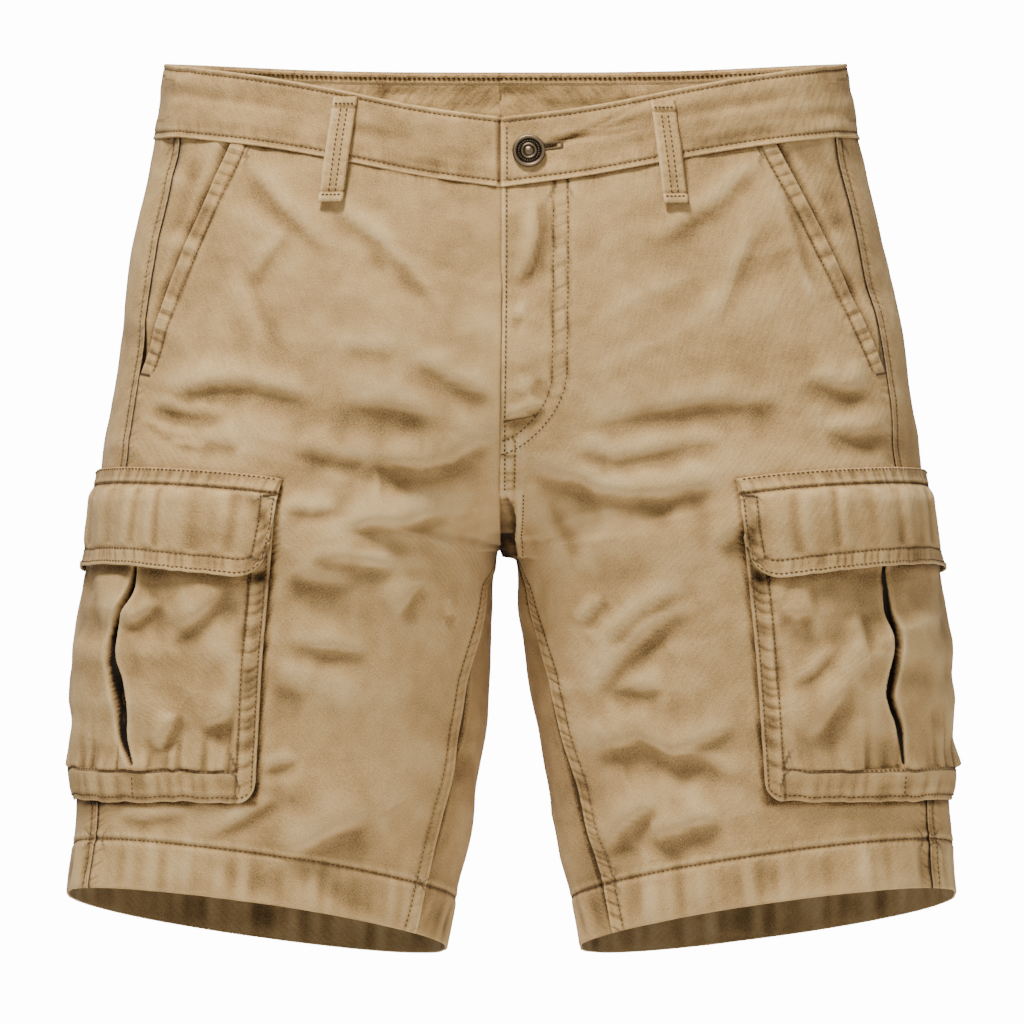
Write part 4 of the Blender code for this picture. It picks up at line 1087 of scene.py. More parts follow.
class Loop:
    """A belt loop: u from -0.5 to 0.5 across it, v from 0 at its lower end to 1."""

    def __init__(self, body, top_x, top_height, low_x, low_height, face):
        self.body, self.face = body, face
        self.low, self.top = np.array((low_x, low_height)), np.array((top_x, top_height))
        self.seed = 130 + int(abs(top_x))

    def seams(self, u, v):
        edge = (0.5 - np.abs(u)) * LOOP_WIDTH
        length = np.linalg.norm(self.top - self.low)
        up, down = v * length, (1 - v) * length
        ends = bump(up - 3.0, 3.2) + 0.6 * bump(down - 3.0, 3.0)
        height = 0.8 * ends - 0.45 * bump(edge, 0.7) - 0.35 * bump(u * LOOP_WIDTH, 2.2)
        height -= 0.5 * bump(up - 6.6, 0.8) + 0.4 * bump(down - 6.2, 0.8)
        # Painted highlight on the edge towards the light, painted shade on the other edge, and painted shade
        # in the groove down the middle.
        left = ease(0.5 + 4 * self.face * u)
        painted_edge_light_and_shade = (0.5 * left - 0.55 * (1 - left)) * bump(edge - 0.4, 1.0)
        tone = painted_edge_light_and_shade - 0.1 * bump(u * LOOP_WIDTH, 2.6) + 0.15 * ends
        rows = 0.35 * bump(up - 6.6, 0.9) + 0.3 * bump(down - 6.2, 0.9)
        tone -= rows + 0.3 * (bump(up, 0.6) + bump(down, 0.6))
        return height, tone

    def ladders(self, u, v):
        return strongest((0.3 * bump(np.abs(u) - 0.3, 0.12), LOOP_LENGTH * v + 2 * APART * np.sign(u)))

    def place(self, u, v, out=0.0):
        x = self.low[0] + (self.top[0] - self.low[0]) * v + u * LOOP_WIDTH
        height = self.low[1] + (self.top[1] - self.low[1]) * v + 0 * u
        side, row, along = self.body.place_at(x, height, self.face)
        stand = LOOP_GAP + LOOP_ARCH * np.sin(math.pi * v) ** 2 + LOOP_WALL + 0.3
        return self.body.at_sides(side, row, along, stand + out + self.seams(u, v)[0])

    def grid(self):
        v = spaced(0, LOOP_LENGTH, 1.1, ((3, 5, 0.7),))[:, None] / LOOP_LENGTH
        u = np.linspace(-0.5, 0.5, 19)[None, :]
        return u + 0 * v, v + 0 * u


class Strip:
    """A strip behind the fly: u is x and v the height."""

    def __init__(self, body, x_range, sunk):
        self.body, self.x_range, self.sunk = body, x_range, sunk

    def seams(self, u, v):
        edge = np.minimum(u - self.x_range[0], self.x_range[1] - u)
        height = 0.35 * wander(u / 12, v / 20, 5) - 0.2 * bump(edge - 3, 0.8)
        return height, 0.2 * bump(edge, 1.0) - 0.2 * bump(edge - 3, 0.7)

    def ladders(self, u, v):
        return strongest((0.4 * bump(u - self.x_range[0] - 3, 3), v + 0 * u))

    def place(self, u, v, out=0.0):
        side, row, along = self.body.place_at(u, v, -1)
        return self.body.at_sides(side, row, along, out - self.sunk + self.seams(u, v)[0])

    def grid(self):
        u = np.linspace(*self.x_range, 22)[None, :]
        v = np.linspace(FLY_END, FLY_TOP, 70)[:, None]
        return u + 0 * v, v + 0 * u


# ---------------------------------------------------------------- making the meshes

def look():
    """The sizes and colours that the panel in the sidebar sets."""
    return bpy.context.scene.cargo_shorts


def add_object(name, mesh, *materials):
    for material in materials:
        mesh.materials.append(material)
    made = bpy.data.objects.new(name, mesh)
    bpy.context.scene.collection.objects.link(made)
    return made


def blurred(field, reach):
    """A grid of values, each the mean of the places up to reach steps away."""
    for axis in (0, 1):
        field = np.moveaxis(field, axis, 0)
        padded = np.pad(field, [(reach + 1, reach)] + [(0, 0)] * (field.ndim - 1), mode="edge")
        total = np.cumsum(padded, axis=0)
        field = np.moveaxis((total[2 * reach + 1:] - total[:-2 * reach - 1]) / (2 * reach + 1), 0, axis)
    return field


def wear_and_hollow_shade(points, outward):
    """Lighter on ridges, as wear leaves washed cloth, and darker in hollows, as painted shade."""
    tone = np.zeros(points.shape[:2])
    for reach, full, share in WEAR_AND_HOLLOW_SHADE:
        proud = ((points - blurred(points, reach)) * outward).sum(axis=-1)
        tone += share * np.clip((proud - np.median(proud)) / full, -1.5, 1.0)
    return tone


def cloth_piece(name, surface, wall, *materials):
    """A shell of a surface: a grid with its places, tone and weave direction, and a wall inwards."""
    u, v = surface.grid()
    points = surface.place(u, v)
    tone = surface.seams(u, v)[1] + wear_and_hollow_shade(points, surface.place(u, v, 1.0) - points)
    points = points * MM
    rows, columns = u.shape
    bm = bmesh.new()
    bmesh.ops.create_grid(bm, x_segments=columns - 1, y_segments=rows - 1, size=1.0)
    mesh = bpy.data.meshes.new(name)
    bm.to_mesh(mesh)
    bm.free()
    flat = np.empty(len(mesh.vertices) * 3)
    mesh.vertices.foreach_get("co", flat)
    flat = flat.reshape(-1, 3)
    column = np.rint((flat[:, 0] + 1) / 2 * (columns - 1)).astype(int)
    row = np.rint((flat[:, 1] + 1) / 2 * (rows - 1)).astype(int)
    mesh.vertices.foreach_set("co", points[row, column].ravel())
    strength, run = (np.broadcast_to(field, u.shape) for field in surface.ladders(u, v))
    for layer, field in (("tone", tone), ("pucker", strength), ("run", run)):
        mesh.attributes.new(layer, "FLOAT", "POINT").data.foreach_set("value", field[row, column].copy())
    # The weave follows the true distances over the surface from its middle.
    across = np.linalg.norm(np.diff(points, axis=1), axis=2)
    across = np.concatenate([np.zeros((rows, 1)), np.cumsum(across, axis=1)], axis=1)
    up = np.linalg.norm(np.diff(points, axis=0), axis=2)
    up = np.concatenate([np.zeros((1, columns)), np.cumsum(up, axis=0)], axis=0)
    weave = np.stack([across - across[:, :1], up], axis=-1)[row, column]
    corners = np.empty(len(mesh.loops), np.int32)
    mesh.loops.foreach_get("vertex_index", corners)
    mesh.uv_layers.new(name="weave").data.foreach_set("uv", weave[corners].ravel())
    middle = rows // 2, columns // 2
    outward = surface.place(u[middle], v[middle], 1.0) * MM - points[middle]
    run = points[middle[0], middle[1] + 1] - points[middle]
    rise = points[middle[0] + 1, middle[1]] - points[middle]
    if np.dot(np.cross(run, rise), outward) < 0:
        mesh.flip_normals()
    mesh.shade_smooth()
    made = add_object(name, mesh, *materials)
    shell = made.modifiers.new("wall", "SOLIDIFY")
    shell.thickness, shell.offset = wall * MM, -1.0
    shell.material_offset = len(materials) - 1
    return made


def dress(piece, node):
    """Puts a finished piece on its body, in place of its node."""
    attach(piece, "root")
    if node:
        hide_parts(node)
    return piece


# ---------------------------------------------------------------- sewing

def along_line(surface, u, v, pitch):
    """Centres, directions and outward normals of stitches along a line on a surface, in millimetres."""
    u, v = np.broadcast_arrays(np.asarray(u, float), np.asarray(v, float))
    share = np.linspace(0, 1, 300)
    knots = np.linspace(0, 1, len(u))
    u, v = np.interp(share, knots, u), np.interp(share, knots, v)
    points = surface.place(u[None, :], v[None, :])[0]
    length = np.concatenate([[0.0], np.cumsum(np.linalg.norm(np.diff(points, axis=0), axis=1))])
    count = max(1, int(length[-1] / pitch))
    at = pitch * (np.arange(count) + 0.5)

    def where(distance):
        return surface_points(surface, np.interp(distance, length, u), np.interp(distance, length, v))

    centre, outward = where(at)
    ahead, behind = where(at + 0.3 * pitch)[0], where(at - 0.3 * pitch)[0]
    run = ahead - behind
    run /= np.linalg.norm(run, axis=1, keepdims=True) + 1e-9
    outward -= run * (outward * run).sum(axis=1, keepdims=True)
    return centre, run, outward / np.linalg.norm(outward, axis=1, keepdims=True)


def surface_points(surface, u, v):
    """Points on a surface and the way outwards at each."""
    points = surface.place(u[None, :], v[None, :])[0]
    return points, surface.place(u[None, :], v[None, :], 1.0)[0] - points


def stitch_shape():
    """One stitch a millimetre long, wide and high, lying along X."""
    bm = bmesh.new()
    bmesh.ops.create_uvsphere(bm, u_segments=5, v_segments=4, radius=0.5)
    bmesh.ops.rotate(bm, verts=bm.verts, cent=(0, 0, 0), matrix=Matrix.Rotation(math.pi / 2, 3, "Y"))
    mesh = bpy.data.meshes.new("one_stitch")
    bm.to_mesh(mesh)
    bm.free()
    points = np.array([vert.co for vert in mesh.vertices])
    faces = [tuple(face.vertices) for face in mesh.polygons]
    bpy.data.meshes.remove(mesh)
    return points, faces


def sewing(name, lines, material):
    """Joins a copy of one stitch at every place of the lines."""
    settings = look()
    size = (settings.stitch_length * 1000, settings.thread_width * 1000, settings.thread_width * 900)
    centre, run, outward = (np.concatenate([line[i] for line in lines]) for i in range(3))
    shape, faces = stitch_shape()
    shape = shape * np.array(size)
    beside = np.cross(outward, run)
    places = (
        centre[:, None, :]
        + shape[None, :, 0:1] * run[:, None, :]
        + shape[None, :, 1:2] * beside[:, None, :]
        + (shape[None, :, 2:3] + STITCH_PROUD) * outward[:, None, :]
    )
    step = len(shape)
    copies = [tuple(corner + step * i for corner in face) for i in range(len(centre)) for face in faces]
    mesh = bpy.data.meshes.new(name)
    mesh.from_pydata((places.reshape(-1, 3) * MM).tolist(), [], copies)
    mesh.shade_smooth()
    made = add_object(name, mesh, material)
    return dress(made, None)


# ---------------------------------------------------------------- materials

class Nodes:
    """A material's nodes, made one after another and joined as they are made."""

    def __init__(self, name):
        self.material = bpy.data.materials.new(name)
        self.material.use_nodes = True
        self.tree = self.material.node_tree
        self.shader = self.tree.nodes["Principled BSDF"]

    def add(self, kind, inputs=(), **settings):
        node = self.tree.nodes.new(kind)
        for key, value in settings.items():
            setattr(node, key, value)
        for socket, value in dict(inputs).items():
            if isinstance(value, bpy.types.NodeSocket):
                self.tree.links.new(value, node.inputs[socket])
            else:
                node.inputs[socket].default_value = value
        return node

    def mapped(self, source, scale):
        return self.add("ShaderNodeMapping", {"Vector": source, "Scale": scale}).outputs[0]

    def noise(self, vector, scale, detail=2.0, roughness=0.5):
        inputs = {"Vector": vector, "Scale": scale, "Detail": detail, "Roughness": roughness}
        return self.add("ShaderNodeTexNoise", inputs).outputs["Fac"]

    def math(self, operation, *values, clamp=False):
        inputs = dict(enumerate(values))
        return self.add("ShaderNodeMath", inputs, operation=operation, use_clamp=clamp).outputs[0]

    def ramp(self, factor, *stops):
        node = self.add("ShaderNodeValToRGB", {"Fac": factor})
        ramp = node.color_ramp
        while len(ramp.elements) < len(stops):
            ramp.elements.new(0.5)
        for element, (place, colour) in zip(ramp.elements, stops):
            element.position, element.color = place, (*colour, 1.0)
        return node.outputs["Color"]

    def bump(self, height, distance, strength=1.0, normal=None):
        inputs = {"Height": height, "Distance": distance, "Strength": strength}
        if normal is not None:
            inputs["Normal"] = normal
        return self.add("ShaderNodeBump", inputs).outputs[0]

    def surface(self, **sockets):
        for name, value in sockets.items():
            socket = self.shader.inputs[name.replace("_", " ")]
            if isinstance(value, bpy.types.NodeSocket):
                self.tree.links.new(value, socket)
            else:
                socket.default_value = value
        return self.material


def cloth_material(name, painted_light_factor=1.0):
    """Washed twill: a fine weave, soft mottling, and light ridges and dark seams from the tone, which also
    carries painted light and shade.
    """
    settings = look()
    light, plain, dark = (np.array(colour[:3]) for colour in (settings.worn, settings.cloth, settings.deep))
    n = Nodes(name)
    weave = n.add("ShaderNodeUVMap", uv_map="weave").outputs[0]
    body = n.add("ShaderNodeTexCoord").outputs["Object"]
    tone, strength, run = (
        n.add("ShaderNodeAttribute", attribute_name=layer).outputs["Fac"]
        for layer in ("tone", "pucker", "run")
    )
    # Puckers are narrow troughs where a noise along the seam passes its middle value. They are bumped in,
    # and darkened in colour as painted shade.
    inputs = {"W": run, "Scale": 1 / PUCKER_SPACING, "Detail": 0.0}
    along = n.add("ShaderNodeTexNoise", inputs, noise_dimensions="1D")
    apart = n.math("ABSOLUTE", n.math("SUBTRACT", along.outputs["Fac"], 0.5))
    pucker_trough_and_shade = n.math("SUBTRACT", 1.0, n.math("MULTIPLY", apart, PUCKER_NARROW), clamp=True)
    pucker_trough_and_shade = n.math("MULTIPLY", n.math("SMOOTH_MIN", pucker_trough_and_shade, 1.0, 0.1), strength)
    blotch = n.math("SUBTRACT", n.noise(body, 24.0, 3.0), 0.5)
    patch = n.math("SUBTRACT", n.noise(body, 95.0, 3.0), 0.5)
    warp = n.noise(n.mapped(weave, (YARN_ACROSS, YARN_ALONG, 1.0)), 1.0, 2.0, 0.6)
    weft = n.noise(n.mapped(weave, (YARN_ALONG, YARN_ACROSS, 1.0)), 1.0, 2.0, 0.6)
    yarn = n.math("ADD", warp, weft)
    grain = n.math("SUBTRACT", yarn, 1.0)
    level = n.math("MULTIPLY_ADD", tone, TONE_SHARE, PLAIN_LEVEL)
    for part, share in ((blotch, 0.38), (patch, 0.16), (grain, 0.5), (strength, 0.04), (pucker_trough_and_shade, -0.17)):
        level = n.math("MULTIPLY_ADD", part, share, level)
    # The lowest stop, far darker than the deep colour, is for the deepest painted shade, in the pleat's gap
    # and the hollow under the fork.
    colour = n.ramp(
        level,
        (0.0, tuple(dark * painted_light_factor * 0.1)),
        (PLAIN_LEVEL - TONE_SHARE, tuple(dark * painted_light_factor)),
        (PLAIN_LEVEL, tuple(plain * painted_light_factor)),
        (PLAIN_LEVEL + TONE_SHARE, tuple(light * painted_light_factor)),
    )
    inputs = {"Vector": weave, "Scale": TWILL_WAVE / settings.twill_pitch, "Distortion": 1.5, "Detail": 1.0}
    twill = n.add("ShaderNodeTexWave", inputs, bands_direction="DIAGONAL").outputs["Fac"]
    relief = n.math("MULTIPLY_ADD", twill, 0.5, yarn)
    normal = n.bump(relief, 0.0003, 0.5)
    crinkle = n.noise(body, 120.0, 2.0, 0.5)
    normal = n.bump(crinkle, 0.0016, 0.5, normal)
    normal = n.bump(n.math("MULTIPLY", pucker_trough_and_shade, -1.0), 0.0009, 1.0, normal)
    return n.surface(
        Base_Color=colour, Roughness=0.92, Normal=normal,
        Sheen_Weight=0.05, Sheen_Roughness=0.5, Specular_IOR_Level=0.15,
    )


def thread_material():
    n = Nodes("sewing thread")
    body = n.add("ShaderNodeTexCoord").outputs["Object"]
    twist = n.noise(body, 2600.0, 1.0)
    thread = np.array(look().thread[:3])
    colour = n.ramp(twist, (0.3, tuple(thread * 0.7)), (0.7, tuple(thread * 1.25)))
    return n.surface(
        Base_Color=colour, Roughness=0.7, Normal=n.bump(twist, 0.0001, 0.6), Specular_IOR_Level=0.3
    )


def metal_material(name, dark, worn, roughness):
    """Antique brass: dark in its hollows and lighter where wear has reached it."""
    n = Nodes(name)
    body = n.add("ShaderNodeTexCoord").outputs["Object"]
    mottle = n.noise(body, 420.0, 4.0, 0.6)
    worn_at = n.add("ShaderNodeAttribute", attribute_name="worn").outputs["Fac"]
    level = n.math("MULTIPLY_ADD", mottle, 0.5, n.math("SUBTRACT", worn_at, 0.12))
    colour = n.ramp(level, (0.15, dark), (0.85, worn))
    rough = n.math("MULTIPLY_ADD", mottle, 0.25, roughness)
    return n.surface(
        Base_Color=colour, Metallic=0.9, Roughness=rough, Normal=n.bump(mottle, 0.00012, 0.5)
    )


def tape_material():
    n = Nodes("zip tape")
    body = n.add("ShaderNodeTexCoord").outputs["Object"]
    inputs = {"Vector": body, "Scale": 260.0, "Distortion": 0.4}
    ribs = n.add("ShaderNodeTexWave", inputs, bands_direction="X").outputs["Fac"]
    tape = np.array(look().cloth[:3])
    colour = n.ramp(ribs, (0.2, tuple(tape * 0.62)), (0.8, tuple(tape * 0.85)))
    return n.surface(Base_Color=colour, Roughness=0.85, Normal=n.bump(ribs, 0.0002, 0.6))


def floor_material():
    n = Nodes("pale floor")
    body = n.add("ShaderNodeTexCoord").outputs["Object"]
    colour = n.ramp(n.noise(body, 3.0), (0.3, (0.92, 0.92, 0.92)), (0.7, (0.94, 0.94, 0.94)))
    return n.surface(Base_Color=colour, Roughness=0.9)


# ---------------------------------------------------------------- the pieces together

SHARED = {}


def surfaces():
    """Every piece's surface by its node's name, worked out once."""
    if not SHARED:
        body = Body()
        SHARED["body"] = body
        for side, word in ((1, "left"), (-1, "right")):
            pocket = Pocket(body, side)
            SHARED[f"front_{word}"] = Panel(body, side, True)
            SHARED[f"back_{word}"] = Panel(body, side, False)
            SHARED[f"pocket_facing_{word}"] = Facing(body, side)
            SHARED[f"waistband_{word}"] = Band(body, side)
            SHARED[f"cargo_pocket_{word}"] = pocket
            SHARED[f"cargo_flap_{word}"] = Flap(pocket)
        for loop in LOOPS:
            SHARED[loop[0]] = Loop(body, *loop[1:])
        SHARED["fly_zip"] = Strip(body, FLY_ZIP, ZIP_SUNK)
        SHARED["fly_shield"] = Strip(body, FLY_SHIELD, SHIELD_SUNK)
    return SHARED


def kept(name, make):
    """A material that several pieces share, made the first time it is asked for."""
    return bpy.data.materials.get(name) or make()


def cloth():
    return kept("khaki twill", lambda: cloth_material("khaki twill"))


def lining(node):
    """The inside, as a lit and a shaded copy of the cloth: painted light in the waistband, which lies open
    to the light, and painted shade in the legs.
    """
    name, painted_light_factor = "twill inside with painted shading", LEG_INSIDE_PAINTED_SHADE
    if node.startswith("waistband"):
        name, painted_light_factor = "twill band inside with painted light", BAND_INSIDE_PAINTED_LIGHT
    return kept(name, lambda: cloth_material(name, painted_light_factor))


def thread():
    return kept("sewing thread", thread_material)


def cut_of(surface):
    """Width, length and area of a piece's cut in metres, measured over its larger shape."""
    u, v = surface.grid()
    chosen = np.ix_(*(np.unique(np.r_[np.arange(0, count, CUT_STEP), count - 1]) for count in u.shape))
    points = surface.place(u[chosen], v[chosen]) * MM
    width = np.linalg.norm(np.diff(points, axis=1), axis=2).sum(axis=1).max()
    length = np.linalg.norm(np.diff(points, axis=0), axis=2).sum(axis=0).max()
    one, other = points[1:, 1:] - points[:-1, :-1], points[1:, :-1] - points[:-1, 1:]
    area = np.linalg.norm(np.cross(one, other), axis=2)
    return (float(width), float(length)), float(area.sum() / 2)


def cloth_of(node, wall):
    surface = surfaces()[node]
    piece = cloth_piece(f"{node}_cloth", surface, wall, cloth(), lining(node))
    flat, area = cut_of(surface)
    return dress(piece, node)


def bartack(surface, u, v, pitch):
    """As along_line(), with each stitch turned across the line."""
    centre, run, outward = along_line(surface, u, v, pitch)
    return centre, np.cross(outward, run), outward


class Inside:
    """The inner side of a piece's wall, for the threads that show there."""

    def __init__(self, surface, wall):
        self.surface, self.wall = surface, wall

    def place(self, u, v, out=0.0):
        return self.surface.place(u, v, -self.wall - out)


def panel_rows(panel, pitch):
    """The stitch rows of a front or a back."""
    word = 1 if panel.front else -1
    length = lambda v: panel.body.length(v, panel.front)
    lines = []

    def row(u, v):
        lines.append(along_line(panel, u, v, pitch))

    v = HEM + HEM_DEPTH
    row(word * np.linspace(1, length(v) - 1, 40), v)
    if panel.front:
        v = np.linspace(HEM + 2, FORK_ROW - 4, 40)
        row(length(v) - INSEAM_STITCH, v)
        v = np.linspace(SLANT_END + 5, WAIST_SEAM - 1, 30)
        row(slant_width(panel.side, v) + SLANT_STITCH, v)
        if panel.side > 0:
            # Beside the hollow under the fork.
            z = np.linspace(HOLLOW_TOP - 6, HOLLOW_TOP - 44, 12)
            x = np.interp(z, MIDDLE_HEIGHTS, MIDDLE_SHIFTS) + lean(z) + HOLLOW_WIDTH + 4.0
            _, v, u = panel.body.place_at(x, z, -1)
            row(u, v)
            # Along the front edge, the short seam below the fly, and the fly's own rows.
            v = np.linspace(FORK_ROW + 60, WAIST_SEAM - 1, 40)
            row(length(v) - 2.8, v)
            v = np.linspace(FORK_ROW + 60, FLY_ROW_END - 8, 20)
            row(length(v) - 9, v)
            for place in FLY_ROWS:
                straight, round_turn = np.linspace(-2.7, 0, 20), 1 - (1 - np.linspace(0, 0.995, 40)) ** 2
                v = FLY_TURN - np.concatenate([straight, round_turn]) * (FLY_TURN - fly_foot(place))
                row(length(v) - panel.fly_row(v, place), v)
            from_edge = np.linspace(2, 22, 9)
            lines.append(bartack(panel, length(FLY_ROW_END) - from_edge, FLY_ROW_END, FLY_TACK_PITCH))
        lines.append(bartack(panel, np.linspace(1, 10, 9), SLANT_END + 3.0, TACK_PITCH))
    else:
        row(-OUTSEAM_STITCH, np.linspace(HEM + 2, WAIST_SEAM - 1, 60))
        v = np.linspace(FORK_ROW + 6, WAIST_SEAM - 1, 50)
        for inside in (2.4, 8.4) if panel.side > 0 else (2.4,):
            row(-(length(v) - inside), v)
    return lines


def band_rows(band, pitch):
    """The rows along the band, inside and out, its front end and the buttonhole."""
    lines = []
    back = -band.body.length(WAIST_SEAM, False) + 1
    for v in BAND_ROWS:
        front = band.front_end(v) - (3.0 if band.side > 0 else 1.0)
        lines.append(along_line(band, np.linspace(back, front, 80), v, pitch))
        lines.append(along_line(Inside(band, BAND_WALL), np.linspace(back, 0, 60), v, pitch))
    if band.side > 0:
        v = np.linspace(*BAND_ROWS, 20)
        lines.append(along_line(band, band.front_end(v) - 3.0, v, pitch))
        first, last, tall = BUTTONHOLE
        low, high = BUTTONHOLE_MIDDLE - tall / 2, BUTTONHOLE_MIDDLE + tall / 2
        from_end = np.linspace(first + 10, last + 1, 20)
        for v in (low - 0.6, high + 0.6):
            lines.append(bartack(band, band.front_end(v) - from_end, v, HOLE_PITCH))
        v = np.linspace(low - 1, high + 1, 8)
        lines.append(bartack(band, band.front_end(v) - last - 1.2, v, HOLE_PITCH))
    return lines


def pocket_rows(pocket, pitch):
    """The rows round a cargo pocket, along its borders and its band, and up the band's middle."""
    lines = []
    top = POCKET_TOP - POCKET_BOTTOM - 16
    low, high = POCKET_BACK + POCKET_EDGE_STITCH, POCKET_FRONT - POCKET_EDGE_STITCH
    border_low, border_high = POCKET_BACK + POCKET_BORDER, POCKET_FRONT - POCKET_BORDER
    lines.append(along_line(pocket, np.linspace(low, high, 80), 3.2, pitch))
    for place, start in ((low, 4.0), (high, 4.0), (border_low, POCKET_BAND), (border_high, POCKET_BAND)):
        lines.append(along_line(pocket, place, np.linspace(start, top, 50), pitch))
    lines.append(along_line(pocket, np.linspace(border_low, border_high, 80), POCKET_BAND, pitch))
    lines.append(along_line(pocket, pocket.pleat_along[0], np.linspace(4, POCKET_BAND - 1, 12), pitch))
    return lines


def flap_rows(flap, pitch):
    """The rows along a flap's top, two rows round its free edges, and a bartack at each upper corner."""
    lines = []
    upper = 1 - FLAP_SEWN / FLAP_TALL
    for v in (1 - 1.1 / FLAP_TALL, upper):
        lines.append(along_line(flap, np.linspace(FLAP_BACK + 1, FLAP_FRONT - 1, 80), v, pitch))
    for inside in (FLAP_EDGE_STITCH, FLAP_BORDER):
        ends, low = (FLAP_BACK + inside, FLAP_FRONT - inside), inside / FLAP_TALL
        lines.append(along_line(flap, np.linspace(*ends, 80), low, pitch))
        for u in ends:
            lines.append(along_line(flap, u, np.linspace(low, upper, 30), pitch))
    for u in (FLAP_FRONT - 5.0, FLAP_BACK + 5.0):
        lines.append(bartack(flap, np.linspace(u - 4, u + 4, 8), upper - 0.045, TACK_PITCH))
    return lines


def loop_rows(loop, pitch):
    """Two rows down a belt loop's middle and one across it near each end."""
    down_middle = [along_line(loop, u, np.linspace(0.1, 0.9, 20), pitch) for u in (-0.13, 0.13)]
    across = [along_line(loop, np.linspace(-0.42, 0.42, 10), v, 0.8 * pitch) for v in (0.07, 0.935)]
    return down_middle + across


def turned_button(name, place, outward, material):
    """A cap with a rolled rim, rings and a ring of dots, on a shank, turned about its own axis."""
    shank = -(BUTTON_STANDS + BAND_WALL + UNDERLAP_GAP)
    r = BUTTON_RADIUS
    profile = [
        (0, shank), (SHANK_RADIUS, shank), (SHANK_RADIUS, 0.2), (r - 1.2, 0.0), (r - 0.3, 0.3),
        (r, 0.9), (r - 0.1, 1.7), (r - 0.5, 2.3), (r - 1.1, 2.6), (r - 1.7, 2.5), (r - 2.1, 2.1),
        (r - 2.4, 1.7), (r - 3.1, 1.6), (r - 4.6, 1.6), (r - 5.1, 1.8), (r - 5.4, 2.2), (r - 5.8, 2.3),
        (r - 6.2, 2.1), (r - 6.5, 1.8), (r - 7.1, 1.8), (r - 7.6, 2.2), (r - 8.4, 2.6), (0, 2.8),
    ]
    bm = bmesh.new()
    verts = [bm.verts.new(Vector((radius, 0, height)) * MM) for radius, height in profile]
    edges = [bm.edges.new(pair) for pair in zip(verts, verts[1:])]
    bmesh.ops.spin(
        bm, geom=verts + edges, cent=(0, 0, 0), axis=(0, 0, 1), angle=math.tau, steps=72, use_merge=True
    )
    bmesh.ops.remove_doubles(bm, verts=bm.verts, dist=0.01 * MM)
    bmesh.ops.recalc_face_normals(bm, faces=bm.faces)
    ring = r - DOT_RING_IN
    for i in range(BUTTON_DOTS):
        turn = math.tau * i / BUTTON_DOTS
        at = Matrix.Translation(Vector((math.cos(turn) * ring, math.sin(turn) * ring, DOT_HEIGHT)) * MM)
        bmesh.ops.create_icosphere(bm, subdivisions=2, radius=DOT_RADIUS * MM, matrix=at)
    height = np.array([vert.co.z for vert in bm.verts]) / MM
    to_place = Vector(outward).to_track_quat("Z", "Y").to_matrix().to_4x4()
    bmesh.ops.transform(bm, matrix=Matrix.Translation(Vector(place) * MM) @ to_place, verts=bm.verts)
    mesh = bpy.data.meshes.new(name)
    bm.to_mesh(mesh)
    bm.free()
    worn = np.clip((height - 1.75) / 0.8, 0, 1)
    mesh.attributes.new("worn", "FLOAT", "POINT").data.foreach_set("value", worn)
    mesh.shade_smooth()
    return add_object(name, mesh, material)


def zip_teeth(name, strip, material):
    """Interlocked teeth down the tape's middle, with a slider at the top and a stop at the bottom."""
    bm = bmesh.new()
    heights = np.arange(FLY_END + 8, FLY_TOP - 14, ZIP_PITCH)
    x = np.where(np.arange(len(heights)) % 2 == 0, -0.8, 0.8)
    parts = [(point, ZIP_TOOTH) for point in strip.place(x, heights)]
    for height, size in ((FLY_TOP - ZIP_SLIDER_IN, ZIP_SLIDER), (FLY_END + ZIP_STOP_IN, ZIP_STOP)):
        parts.append((strip.place(np.array([0.0]), np.array([height]), -0.1)[0], size))
    for point, size in parts:
        made = bmesh.ops.create_cube(bm, size=1.0)["verts"]
        bmesh.ops.scale(bm, verts=made, vec=Vector(size) * MM)
        bmesh.ops.translate(bm, verts=made, vec=Vector(point) * MM)
    bmesh.ops.bevel(
        bm, geom=bm.edges[:], offset=ZIP_CHAMFER * MM, affect="EDGES", segments=1, profile=0.5, material=-1
    )
    worn = np.full(len(bm.verts), 0.4)
    mesh = bpy.data.meshes.new(name)
    bm.to_mesh(mesh)
    bm.free()
    mesh.attributes.new("worn", "FLOAT", "POINT").data.foreach_set("value", worn)
    return add_object(name, mesh, material)


# ---------------------------------------------------------------- settings and operators

